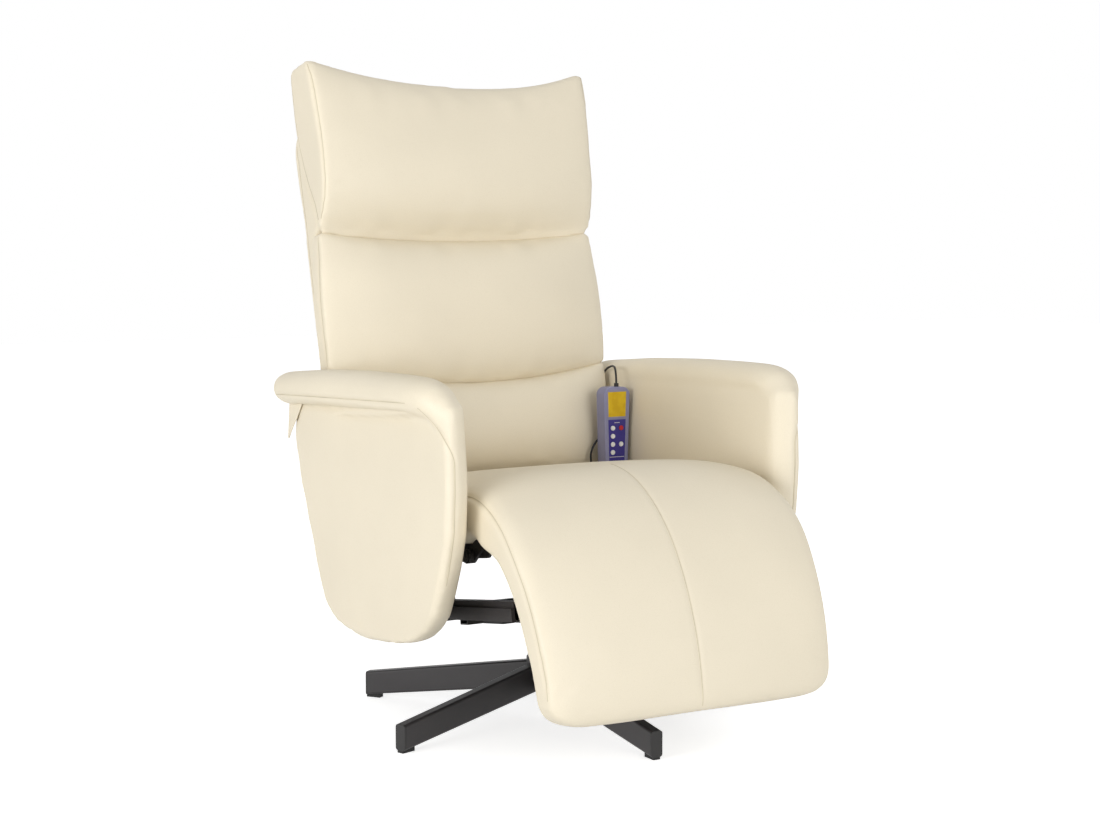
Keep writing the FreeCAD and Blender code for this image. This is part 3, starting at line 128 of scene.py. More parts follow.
def divided_block(name, cuts):
    """A cube of half size one, cut into a grid, to be shaped."""
    deselect()
    bpy.ops.mesh.primitive_cube_add(size=2)
    piece = bpy.context.active_object
    piece.name = name
    piece.data.name = name
    bpy.ops.object.mode_set(mode="EDIT")
    bpy.ops.mesh.select_all(action="SELECT")
    bpy.ops.mesh.subdivide(number_cuts=cuts)
    bpy.ops.object.mode_set(mode="OBJECT")
    return piece


def read_points(piece):
    flat = np.empty(len(piece.data.vertices) * 3)
    piece.data.vertices.foreach_get("co", flat)
    return flat.reshape(-1, 3)


def write_points(piece, points):
    piece.data.vertices.foreach_set("co", np.ascontiguousarray(points, float).ravel())
    piece.data.update()


def read_normals(piece):
    flat = np.empty(len(piece.data.vertices) * 3, np.float32)
    piece.data.vertex_normals.foreach_get("vector", flat)
    return flat.reshape(-1, 3).astype(float)


def rounded_box(cube, half, radius):
    """Turns a cube's points into a box of half sizes with rounded edges; radius is one for each axis."""
    half = np.asarray(half, float)
    radius = np.asarray(radius, float)
    points = cube * half
    core = np.clip(points, -(half - radius), half - radius)
    way = (points - core) / radius
    length = np.linalg.norm(way, axis=1, keepdims=True)
    return core + way / np.maximum(length, 1e-9) * radius


def round_tube(cube):
    """Squeezes a cube's square section, in its first and third axes, into a circle of radius one."""
    points = cube.copy()
    square = np.maximum(np.abs(points[:, 0]), np.abs(points[:, 2]))
    circle = np.hypot(points[:, 0], points[:, 2])
    share = square / np.maximum(circle, 1e-9)
    points[:, 0] *= share
    points[:, 2] *= share
    return points


def apply_modifier(piece, modifier):
    activate(piece)
    bpy.ops.object.modifier_apply(modifier=modifier.name)


def even_mesh(piece):
    modifier = piece.modifiers.new("Even", "REMESH")
    modifier.mode = "VOXEL"
    modifier.voxel_size = settings().voxel
    apply_modifier(piece, modifier)


def smooth_points(piece, rounds):
    modifier = piece.modifiers.new("Smooth", "SMOOTH")
    modifier.factor = 0.5
    modifier.iterations = rounds
    apply_modifier(piece, modifier)


def stuff(piece, cap, held):
    """Lets the cover swell over its stuffing; held is each point's share of hold, 1 where it is sewn down."""
    before = read_points(piece)
    group = piece.vertex_groups.new(name="held")
    for level in (0.25, 0.5, 0.75, 1.0):
        chosen = np.nonzero(np.abs(held - level) <= 0.125)[0]
        group.add([int(i) for i in chosen], level, "REPLACE")
    modifier = piece.modifiers.new("Stuffing", "CLOTH")
    cloth = modifier.settings
    cloth.quality = 4
    cloth.mass = 0.3
    cloth.tension_stiffness = 30
    cloth.compression_stiffness = 30
    cloth.shear_stiffness = 15
    cloth.bending_stiffness = 1.5
    cloth.use_pressure = True
    cloth.uniform_pressure_force = settings().pressure
    cloth.effector_weights.gravity = 0
    cloth.vertex_group_mass = group.name
    modifier.collision_settings.use_collision = False
    scene = bpy.context.scene
    modifier.point_cache.frame_start = 1
    modifier.point_cache.frame_end = settings().sim_frames
    for step in range(1, settings().sim_frames + 1):
        scene.frame_set(step)
    apply_modifier(piece, modifier)
    scene.frame_set(1)
    piece.vertex_groups.clear()
    moved = read_points(piece) - before
    length = np.linalg.norm(moved, axis=1, keepdims=True)
    soft = cap * np.tanh(length / cap)
    write_points(piece, before + moved / np.maximum(length, 1e-9) * soft)


def subdivide_once(piece):
    modifier = piece.modifiers.new("Finer", "SUBSURF")
    modifier.levels = 1
    modifier.render_levels = 1
    apply_modifier(piece, modifier)


def trace(cover, starts, ways):
    """Evened-out points where straight looks from the starts meet a cover, and its normals there."""
    bpy.context.view_layer.update()
    places = []
    normals = []
    for start, way in zip(starts, ways):
        found, place, normal, _ = cover.ray_cast(Vector(start), Vector(way))
        if not found:
            raise RuntimeError(f"a seam misses {cover.name}")
        places.append(place)
        normals.append(normal)
    places = np.array(places)
    for _ in range(6):
        places[1:-1] = (places[:-2] + 2 * places[1:-1] + places[2:]) / 4
    return places, np.array(normals)


def sew(piece, seams):
    """Draws seams in, shallower at their ends, and paints shade into their grooves as the point attribute seam; each
    is (starts, ways, depth, whether it shows thread).
    """
    rows = []
    depths = []
    for starts, ways, depth, _ in seams:
        places, _ = trace(piece, starts, ways)
        order = np.arange(len(places))
        rows.append(places)
        depths.append(depth * np.clip(np.minimum(order, order[::-1]) / SEAM_FADE_ROWS, 0, 1))
    rows = np.concatenate(rows)
    depths = np.concatenate(depths)
    tree = kdtree.KDTree(len(rows))
    for index, place in enumerate(rows):
        tree.insert(place, index)
    tree.balance()
    points = read_points(piece)
    found = [tree.find(point)[1:] for point in points]
    depth = depths[[row for row, _ in found]]
    distance = np.array([away for _, away in found])
    width = settings().seam_width
    drop = depth * np.exp(-((distance / width) ** 2))
    # Painted shade in each seam's groove: strongest at the middle of a deep seam, and narrower than the groove.
    painted_seam_shade = depth / settings().seam_depth * np.exp(-((distance / (SEAM_SHADE_SHARE * width)) ** 2))
    write_points(piece, points - read_normals(piece) * drop[:, None])
    attribute = piece.data.attributes.new("seam", "FLOAT", "POINT")
    attribute.data.foreach_set("value", np.minimum(painted_seam_shade, 1).astype(np.float32))


def bell(value, centre, width):
    return np.exp(-(((value - centre) / width) ** 2))


def pucker(piece, near, across, depth):
    """Shallow uneven folds square to a seam; near is each point's nearness to it and across its place along it."""
    wave = np.sin(across * 71 + 0.7) + 0.8 * np.sin(across * 113 + 2.1) + 0.6 * np.sin(across * 37 + 4.0)
    write_points(piece, read_points(piece) + read_normals(piece) * (depth * near * wave)[:, None])


def stitches(name, cover, seams):
    """Thread lying in those of a cover's seams that show it."""
    curve = bpy.data.curves.new(name, "CURVE")
    curve.dimensions = "3D"
    curve.bevel_depth = THREAD_RADIUS
    curve.bevel_resolution = 1
    curve.use_fill_caps = True
    for starts, ways, _, shown in seams:
        if not shown:
            continue
        places, normals = trace(cover, starts, ways)
        run = (places - THREAD_SINK * normals)[::3]
        spline = curve.splines.new("POLY")
        spline.points.add(len(run) - 1)
        for point, place in zip(spline.points, run):
            point.co = (*place, 1)
    thread = bpy.data.objects.new(name, curve)
    bpy.context.collection.objects.link(thread)
    activate(thread)
    bpy.ops.object.convert(target="MESH")
    thread = bpy.context.active_object
    bpy.ops.object.shade_smooth()
    thread.data.materials.clear()
    thread.data.materials.append(MATERIALS["thread"])
    return thread


def finish_cover(piece, material, nodes, body):
    activate(piece)
    bpy.ops.object.shade_smooth()
    piece.data.materials.clear()
    piece.data.materials.append(material)
    if body is not None:
        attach(piece, body)
    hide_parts(*nodes)
    return piece


# Shapes of the seat and of the back


def seat_line():
    """The seat's and leg rest's middle line on top: rows of (y, z, slope), a millimetre apart."""
    runs = [(0.378, 0.0), (0.1194, 1 / 0.180), (0.1377, 1 / 0.280), (0.1927, 1 / 0.450), (0.039, 0.0)]
    y = 0.172 * math.cos(SEAT_TILT) + 0.210 * math.sin(SEAT_TILT)
    z = FRAME_HEIGHT - 0.172 * math.sin(SEAT_TILT) + 0.210 * math.cos(SEAT_TILT)
    slope = -SEAT_TILT
    rows = [(y, z, slope)]
    step = 0.001
    for length, turn in runs:
        for _ in range(round(length / step)):
            middle = slope + turn * step / 2
            y -= step * math.cos(middle)
            z -= step * math.sin(middle)
            slope += turn * step
            rows.append((y, z, slope))
    return np.array(rows), step


SEAT_LINE, SEAT_STEP = seat_line()
SEAT_LENGTH = (len(SEAT_LINE) - 1) * SEAT_STEP


def on_seat_line(along):
    rows = np.arange(len(SEAT_LINE)) * SEAT_STEP
    y = np.interp(along, rows, SEAT_LINE[:, 0])
    z = np.interp(along, rows, SEAT_LINE[:, 1])
    slope = np.interp(along, rows, SEAT_LINE[:, 2])
    return y, z, slope


def seat_thickness(along):
    return np.interp(
        along, [0.0, 0.378, 0.44, 0.476, 0.50, 0.52, 0.548, 0.58, 0.62, 0.70, SEAT_LENGTH],
        [0.107, 0.107, 0.094, 0.0905, 0.0935, 0.091, 0.0815, 0.071, 0.0675, 0.067, 0.062],
    )


def seat_half_width(along):
    width = np.interp(along, [0.0, 0.6, 0.76, SEAT_LENGTH], [0.2605, 0.2605, 0.2520, 0.2445])
    corner = 0.036
    past = np.clip((along - (SEAT_LENGTH - corner)) / corner, 0, 1)
    return width - corner * (1 - np.sqrt(1 - past ** 2))


def seat_crown(along):
    return np.interp(along, [0.0, 0.05, 0.40, 0.55, SEAT_LENGTH], [0.030, 0.036, 0.030, 0.012, 0.010])


def seat_place(across, along, depth):
    """World points of the seat's cover from a distance across, along its line and below it."""
    y, z, slope = on_seat_line(along)
    return np.stack([across, y + depth * np.sin(slope), z - depth * np.cos(slope)], axis=1)


def seat_measure(points):
    """The (along, depth) of each point, by the nearest row of the seat's line."""
    tree = kdtree.KDTree(len(SEAT_LINE))
    for i, row in enumerate(SEAT_LINE):
        tree.insert((0, row[0], row[1]), i)
    tree.balance()
    along = np.empty(len(points))
    depth = np.empty(len(points))
    for i, point in enumerate(points):
        _, row, _ = tree.find((0, point[1], point[2]))
        y, z, slope = SEAT_LINE[row]
        along[i] = row * SEAT_STEP
        depth[i] = (point[1] - y) * math.sin(slope) - (point[2] - z) * math.cos(slope)
    return along, depth


def back_place(across, up, rear):
    """World points from the back's own frame: up its lean, and to the rear square to it."""
    y = BACK_FOOT[0] + up * math.sin(BACK_LEAN) + rear * math.cos(BACK_LEAN)
    z = BACK_FOOT[1] + up * math.cos(BACK_LEAN) - rear * math.sin(BACK_LEAN)
    return np.stack([across, y, z], axis=1)


def back_measure(points):
    y = points[:, 1] - BACK_FOOT[0]
    z = points[:, 2] - BACK_FOOT[1]
    up = y * math.sin(BACK_LEAN) + z * math.cos(BACK_LEAN)
    rear = y * math.cos(BACK_LEAN) - z * math.sin(BACK_LEAN)
    return up, rear


def held_by(distance, reach):
    """Full hold within reach of a seam, fading to none at twice the reach."""
    return np.clip(2 - distance / reach, 0, 1)


# Materials


def new_material(name):
    material = bpy.data.materials.new(name)
    material.use_nodes = True
    return material, material.node_tree.nodes, material.node_tree.links


def bump_from(nodes, links, height, strength, distance, shader):
    bump = nodes.new("ShaderNodeBump")
    bump.inputs["Strength"].default_value = strength
    bump.inputs["Distance"].default_value = distance
    links.new(height, bump.inputs["Height"])
    links.new(bump.outputs["Normal"], shader.inputs["Normal"])
    return bump


def noise(nodes, links, coordinate, scale, detail):
    node = nodes.new("ShaderNodeTexNoise")
    node.inputs["Scale"].default_value = scale
    node.inputs["Detail"].default_value = detail
    links.new(coordinate, node.inputs["Vector"])
    return node


def mixed(nodes, links, factor, low, high):
    mix = nodes.new("ShaderNodeMix")
    mix.data_type = "RGBA"
    if hasattr(factor, "node"):
        links.new(factor, mix.inputs[0])
    else:
        mix.inputs[0].default_value = factor
    for socket, value in ((mix.inputs[6], low), (mix.inputs[7], high)):
        if hasattr(value, "node"):
            links.new(value, socket)
        else:
            socket.default_value = (*value, 1)
    return mix.outputs[2]


def ramp(nodes, links, value, low, high):
    node = nodes.new("ShaderNodeMapRange")
    node.inputs["From Min"].default_value = low
    node.inputs["From Max"].default_value = high
    links.new(value, node.inputs["Value"])
    return node.outputs["Result"]


def leather_material():
    """Cream faux leather: pebbled grain, soft creases, slightly uneven tone, and painted shade in its seams and
    creases.
    """
    material, nodes, links = new_material("cream_leather")
    shader = nodes["Principled BSDF"]
    where = nodes.new("ShaderNodeTexCoord").outputs["Object"]
    pebble = nodes.new("ShaderNodeTexVoronoi")
    pebble.feature = "DISTANCE_TO_EDGE"
    pebble.inputs["Scale"].default_value = 620
    links.new(where, pebble.inputs["Vector"])
    crease = noise(nodes, links, where, 60, 4)
    cloud = noise(nodes, links, where, 5.5, 2)
    tone = mixed(
        nodes, links, ramp(nodes, links, cloud.outputs["Fac"], 0.3, 0.75),
        settings().leather, [0.95 * channel for channel in settings().leather],
    )
    between = ramp(nodes, links, pebble.outputs["Distance"], 0.12, 0.0)
    pit = mixed(nodes, links, between, tone, settings().leather_shade)
    soft_pit = mixed(nodes, links, 0.22, tone, pit)
    # Painted shade: the attribute seam, written by sew, mixes the colour towards the leather's shade colour in seams
    # and creases.
    seam = nodes.new("ShaderNodeAttribute")
    seam.attribute_name = "seam"
    seam_shade_amount = ramp(nodes, links, seam.outputs["Fac"], 0.0, 1.6)
    # sewn is the leather colour with the painted seam shade.
    sewn = mixed(nodes, links, seam_shade_amount, soft_pit, settings().leather_shade)
    links.new(sewn, shader.inputs["Base Color"])
    rough = nodes.new("ShaderNodeMapRange")
    rough.inputs["To Min"].default_value = 0.40
    rough.inputs["To Max"].default_value = 0.56
    links.new(crease.outputs["Fac"], rough.inputs["Value"])
    links.new(rough.outputs["Result"], shader.inputs["Roughness"])
    shader.inputs["Specular IOR Level"].default_value = 0.35
    grain = bump_from(nodes, links, pebble.outputs["Distance"], 0.18, 0.0006, shader)
    folds = nodes.new("ShaderNodeBump")
    folds.inputs["Strength"].default_value = 0.10
    folds.inputs["Distance"].default_value = 0.002
    links.new(crease.outputs["Fac"], folds.inputs["Height"])
    links.new(folds.outputs["Normal"], grain.inputs["Normal"])
    return material


def coated_material(name, colour, rough_low, rough_high, grain_scale, grain_strength, metallic):
    """A painted or moulded finish with a fine grain and uneven gloss."""
    material, nodes, links = new_material(name)
    shader = nodes["Principled BSDF"]
    where = nodes.new("ShaderNodeTexCoord").outputs["Object"]
    grain = noise(nodes, links, where, grain_scale, 3)
    cloud = noise(nodes, links, where, 14, 3)
    tone = mixed(
        nodes, links, ramp(nodes, links, cloud.outputs["Fac"], 0.3, 0.7),
        [0.88 * channel for channel in colour], [min(1, 1.1 * channel) for channel in colour],
    )
    links.new(tone, shader.inputs["Base Color"])
    rough = nodes.new("ShaderNodeMapRange")
    rough.inputs["To Min"].default_value = rough_low
    rough.inputs["To Max"].default_value = rough_high
    links.new(cloud.outputs["Fac"], rough.inputs["Value"])
    links.new(rough.outputs["Result"], shader.inputs["Roughness"])
    shader.inputs["Metallic"].default_value = metallic
    shader.inputs["Specular IOR Level"].default_value = 0.4
    bump_from(nodes, links, grain.outputs["Fac"], grain_strength, 0.0003, shader)
    return material


def plywood_material():
    material, nodes, links = new_material("plywood")
    shader = nodes["Principled BSDF"]
    where = nodes.new("ShaderNodeTexCoord").outputs["Object"]
    grain = nodes.new("ShaderNodeTexWave")
    grain.inputs["Scale"].default_value = 18
    grain.inputs["Distortion"].default_value = 6
    grain.inputs["Detail"].default_value = 3
    links.new(where, grain.inputs["Vector"])
    tone = mixed(nodes, links, grain.outputs["Fac"], (0.50, 0.34, 0.19), (0.62, 0.46, 0.29))
    links.new(tone, shader.inputs["Base Color"])
    shader.inputs["Roughness"].default_value = 0.7
    bump_from(nodes, links, grain.outputs["Fac"], 0.1, 0.0004, shader)
    return material


def screen_material():
    """A yellow pane with a faintly cloudy tone."""
    material, nodes, links = new_material("yellow_pane")
    shader = nodes["Principled BSDF"]
    where = nodes.new("ShaderNodeTexCoord").outputs["Object"]
    cells = noise(nodes, links, where, 90, 1)
    cloud = ramp(nodes, links, cells.outputs["Fac"], 0.35, 0.7)
    tone = mixed(nodes, links, cloud, (0.60, 0.38, 0.003), (0.68, 0.46, 0.008))
    links.new(tone, shader.inputs["Base Color"])
    shader.inputs["Roughness"].default_value = 0.22
    bump_from(nodes, links, cells.outputs["Fac"], 0.02, 0.0002, shader)
    return material


FINISHES = {
    "black_metal": ((0.011, 0.0105, 0.010), 0.36, 0.52, 1500, 0.10, 0.0),
    "steel": ((0.55, 0.55, 0.56), 0.28, 0.42, 900, 0.08, 1.0),
    "rubber": ((0.018, 0.018, 0.018), 0.65, 0.85, 1100, 0.15, 0.0),
    "black_plastic": ((0.020, 0.019, 0.019), 0.42, 0.6, 1300, 0.15, 0.0),
    "grey_plastic": ((0.235, 0.235, 0.375), 0.36, 0.5, 1600, 0.12, 0.0),
    "blue_panel": ((0.040, 0.030, 0.235), 0.38, 0.5, 1800, 0.06, 0.0),
    "circuit": ((0.02, 0.15, 0.05), 0.5, 0.6, 900, 0.1, 0.0),
    "cord": ((0.014, 0.014, 0.014), 0.45, 0.6, 1400, 0.1, 0.0),
    "white_key": ((0.80, 0.80, 0.80), 0.38, 0.5, 1800, 0.06, 0.0),
    "lining": ((0.020, 0.020, 0.021), 0.8, 0.95, 700, 0.35, 0.0),
    # Thread: real stitching, but its darker tone is painted shade that stands for the shaded groove of the seam.
    "thread": ((0.60, 0.53, 0.39), 0.6, 0.75, 900, 0.2, 0.0),
    "red_key": ((0.52, 0.02, 0.03), 0.38, 0.5, 1800, 0.06, 0.0),
}
COVERED = {"seat_board": "lining", "legrest_board": "cream_leather", "back_board": "cream_leather"}
MATERIALS = {}


def make_materials():
    MATERIALS["cream_leather"] = leather_material()
    MATERIALS["plywood"] = plywood_material()
    MATERIALS["yellow_pane"] = screen_material()
    MATERIALS["charcoal_metal"] = coated_material("charcoal_metal", settings().metal, 0.34, 0.50, 1500, 0.10, 0.0)
    for name, finish in FINISHES.items():
        MATERIALS[name] = coated_material(name, *finish)


# Operators


class RECLINER_OT_stage(bpy.types.Operator):
    """Pale floor, soft lamps and the camera"""

    bl_idname = "recliner.stage"
    bl_label = "Stage"

    FLOOR_SIZE = 24
    FLOOR_LIFT = 0.66
    SKY_LIGHT = 0.49
    LAMPS = [
        ("side_lamp", (-4.0, -1.2, 0.9), 2.0, 87),
        ("front_lamp", (0.3, -4.0, 1.2), 2.2, 57),
        ("top_lamp", (0.0, -0.4, 3.6), 2.6, 6),
    ]
    LAMP_AIM = (0, -0.05, 0.55)
    CAMERA_PLACE = (-1.614, -2.779, 0.780)
    CAMERA_DIP = math.radians(90 - 4.96)
    CAMERA_TURN = math.radians(-30.27)
    CAMERA_LENS = 64.79

    def seen_rays(self, nodes, links):
        """One for the rays that show the stage itself, straight or in a reflection."""
        path = nodes.new("ShaderNodeLightPath")
        seen = path.outputs["Is Camera Ray"]
        for kind in ("Is Glossy Ray", "Is Transmission Ray"):
            either = nodes.new("ShaderNodeMath")
            either.operation = "MAXIMUM"
            links.new(seen, either.inputs[0])
            links.new(path.outputs[kind], either.inputs[1])
            seen = either.outputs[0]
        return seen

    def execute(self, context):
        scene = context.scene
        scene.view_settings.view_transform = "Standard"
        deselect()
        bpy.ops.mesh.primitive_grid_add(x_subdivisions=8, y_subdivisions=8, size=self.FLOOR_SIZE)
        floor = context.active_object
        floor.name = "floor"
        material, nodes, links = new_material("floor")
        shader = nodes["Principled BSDF"]
        shader.inputs["Base Color"].default_value = (0.9, 0.9, 0.9, 1)
        shader.inputs["Roughness"].default_value = 0.9
        lift = nodes.new("ShaderNodeMath")
        lift.operation = "MULTIPLY"
        lift.inputs[1].default_value = self.FLOOR_LIFT
        links.new(self.seen_rays(nodes, links), lift.inputs[0])
        shader.inputs["Emission Color"].default_value = (1, 1, 1, 1)
        links.new(lift.outputs[0], shader.inputs["Emission Strength"])
        floor.data.materials.append(material)

        world = bpy.data.worlds.new("studio")
        scene.world = world
        world.use_nodes = True
        nodes = world.node_tree.nodes
        links = world.node_tree.links
        sky = nodes["Background"]
        sky.inputs["Color"].default_value = (1, 1, 1, 1)
        seen = nodes.new("ShaderNodeMapRange")
        seen.inputs["To Min"].default_value = self.SKY_LIGHT
        seen.inputs["To Max"].default_value = 1.0
        links.new(self.seen_rays(nodes, links), seen.inputs["Value"])
        links.new(seen.outputs["Result"], sky.inputs["Strength"])

        for name, place, size, power in self.LAMPS:
            deselect()
            bpy.ops.object.light_add(type="AREA", location=place)
            lamp = context.active_object
            lamp.name = name
            lamp.data.size = size
            lamp.data.energy = power
            way = Vector(self.LAMP_AIM) - Vector(place)
            lamp.rotation_euler = way.to_track_quat("-Z", "Y").to_euler()

        deselect()
        bpy.ops.object.camera_add(location=self.CAMERA_PLACE)
        camera = context.active_object
        camera.rotation_euler = (self.CAMERA_DIP, 0, self.CAMERA_TURN)
        camera.data.sensor_width = 36
        camera.data.lens = self.CAMERA_LENS
        camera.data.clip_end = 60
        scene.camera = camera
        return {"FINISHED"}


class RECLINER_OT_metalwork(bpy.types.Operator):
    """Finishes of the base, the mechanism and the electrics"""

    bl_idname = "recliner.metalwork"
    bl_label = "Base and mechanism"

    def execute(self, context):
        make_materials()
        for part in frame["record"]["subparts"]:
            node = frame["nodes"][part["node"]]
            node.data.materials.clear()
            node.data.materials.append(MATERIALS[COVERED.get(part["node"], part["material_slot"])])
        return {"FINISHED"}


class RECLINER_OT_cord(bpy.types.Operator):
    """Handset cord from its gland to the grommet behind the seat"""

    bl_idname = "recliner.cord"
    bl_label = "Handset cord"

    RADIUS = 0.0019

    def execute(self, context):
        gland_low, gland_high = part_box("handset_gland")
        grommet_low, grommet_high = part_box("cord_grommet")
        exit_point = (
            (gland_low[0] + gland_high[0]) / 2, (gland_low[1] + gland_high[1]) / 2, gland_high[2],
        )
        route = [
            exit_point,
            (0.245, 0.175, 0.554),
            (0.262, 0.214, 0.558),
            (0.268, 0.252, 0.546),
            (0.2685, 0.274, 0.511),
            (0.2685, 0.272, 0.471),
            (0.2675, 0.243, 0.443),
            (0.257, 0.206, 0.437),
            (0.222, 0.1945, 0.433),
            (0.204, 0.1955, 0.407),
            (0.211, 0.2005, 0.378),
            (0.214, 0.208, 0.344),
            (0.212, 0.212, 0.309),
            (0.210, 0.2094, grommet_high[2] - 0.0013),
        ]
        curve = bpy.data.curves.new("handset_lead", "CURVE")
        curve.dimensions = "3D"
        curve.bevel_depth = self.RADIUS
        curve.bevel_resolution = 6
        curve.use_fill_caps = True
        spline = curve.splines.new("NURBS")
        spline.points.add(len(route) - 1)
        for point, place in zip(spline.points, route):
            point.co = (*place, 1)
        spline.order_u = 3
        spline.use_endpoint_u = True
        spline.resolution_u = 12
        lead = bpy.data.objects.new("handset_lead", curve)
        context.collection.objects.link(lead)
        curve.materials.append(MATERIALS["cord"])
        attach(lead, "seat")
        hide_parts("handset_cord")
        return {"FINISHED"}


class RECLINER_OT_seat(bpy.types.Operator):
    """One cover over the seat and the leg rest, with a rear lip under the lumbar cushion"""

    bl_idname = "recliner.seat"
    bl_label = "Seat and leg rest"

    HALF_WIDTH = 0.262
    HALF_DEPTH = 0.05
    EDGE_ROUND = 0.024
    LIP = 0.028
    LIP_REACH = 0.05
    CORD_PLACE = 0.211
    CORD_ROOM = 0.013
    SEAM_LINE = 0.255
    SEAM_HOLD = 0.012
    MIDDLE_SEAM_START = 0.405
    BEND_PLACE = 0.497
    BEND_REACH = 0.062

    def execute(self, context):
        piece = divided_block("seat_cover", 56)
        cube = read_points(piece)
        half_length = SEAT_LENGTH / 2
        box = rounded_box(cube, (self.HALF_WIDTH, half_length, self.HALF_DEPTH), (self.EDGE_ROUND,) * 3)
        along = box[:, 1] + half_length
        width = seat_half_width(along)
        across = box[:, 0] / self.HALF_WIDTH * width
        level = (self.HALF_DEPTH - box[:, 2]) / (2 * self.HALF_DEPTH)
        crown = seat_crown(along) * np.abs(across / width) ** 4.5 * (1 - level)
        depth = level * seat_thickness(along) + crown
        points = seat_place(across, along, depth)
        lip = self.LIP * np.clip(1 - along / self.LIP_REACH, 0, 1) * np.clip(1.6 - 2.2 * level, 0, 1)
        lip *= 1 - bell(across, self.CORD_PLACE, self.CORD_ROOM)
        points[:, 1] += lip * math.cos(SEAT_TILT)
        points[:, 2] -= lip * math.sin(SEAT_TILT)
        write_points(piece, points)
        even_mesh(piece)
        smooth_points(piece, 2)
        points = read_points(piece)
        along, depth = seat_measure(points)
        under = depth / seat_thickness(along)
        from_seam = np.abs(np.abs(points[:, 0]) - self.SEAM_LINE)
        held = np.maximum(np.clip((under - 0.55) / 0.2, 0, 1), held_by(from_seam, self.SEAM_HOLD))
        held = np.maximum(held, 0.75 * held_by(np.abs(points[:, 0]), self.SEAM_HOLD) * (along > 0.40))
        stuff(piece, 0.4 * settings().swell, held)
        subdivide_once(piece)
        depth = settings().seam_depth
        along = np.arange(self.MIDDLE_SEAM_START, SEAT_LENGTH - 0.006, 0.001)
        _, _, slope = on_seat_line(along)
        down = np.stack([np.zeros_like(along), np.sin(slope), -np.cos(slope)], axis=1)
        seams = [(seat_place(np.zeros_like(along), along, np.full_like(along, -0.05)), down, 0.4 * depth, True)]
        along = np.arange(0.02, SEAT_LENGTH - 0.040, 0.001)
        rim = 0.016 + 0.6 * seat_crown(along)
        for sign in SIDES.values():
            starts = seat_place(np.full_like(along, sign * SIDE_LOOK_OUT), along, rim)
            seams.append((starts, np.tile((-sign, 0.0, 0.0), (len(along), 1)), 0.7 * depth, True))
        sew(piece, seams)
        finish_cover(piece, MATERIALS["cream_leather"], ("seat_cushion", "legrest_cushion"), None)
        y, z, slope = [float(value) for value in on_seat_line(self.BEND_PLACE)]
        thread = stitches("seat_thread", piece, seams)
        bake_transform(piece)
        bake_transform(thread)
        return {"FINISHED"}


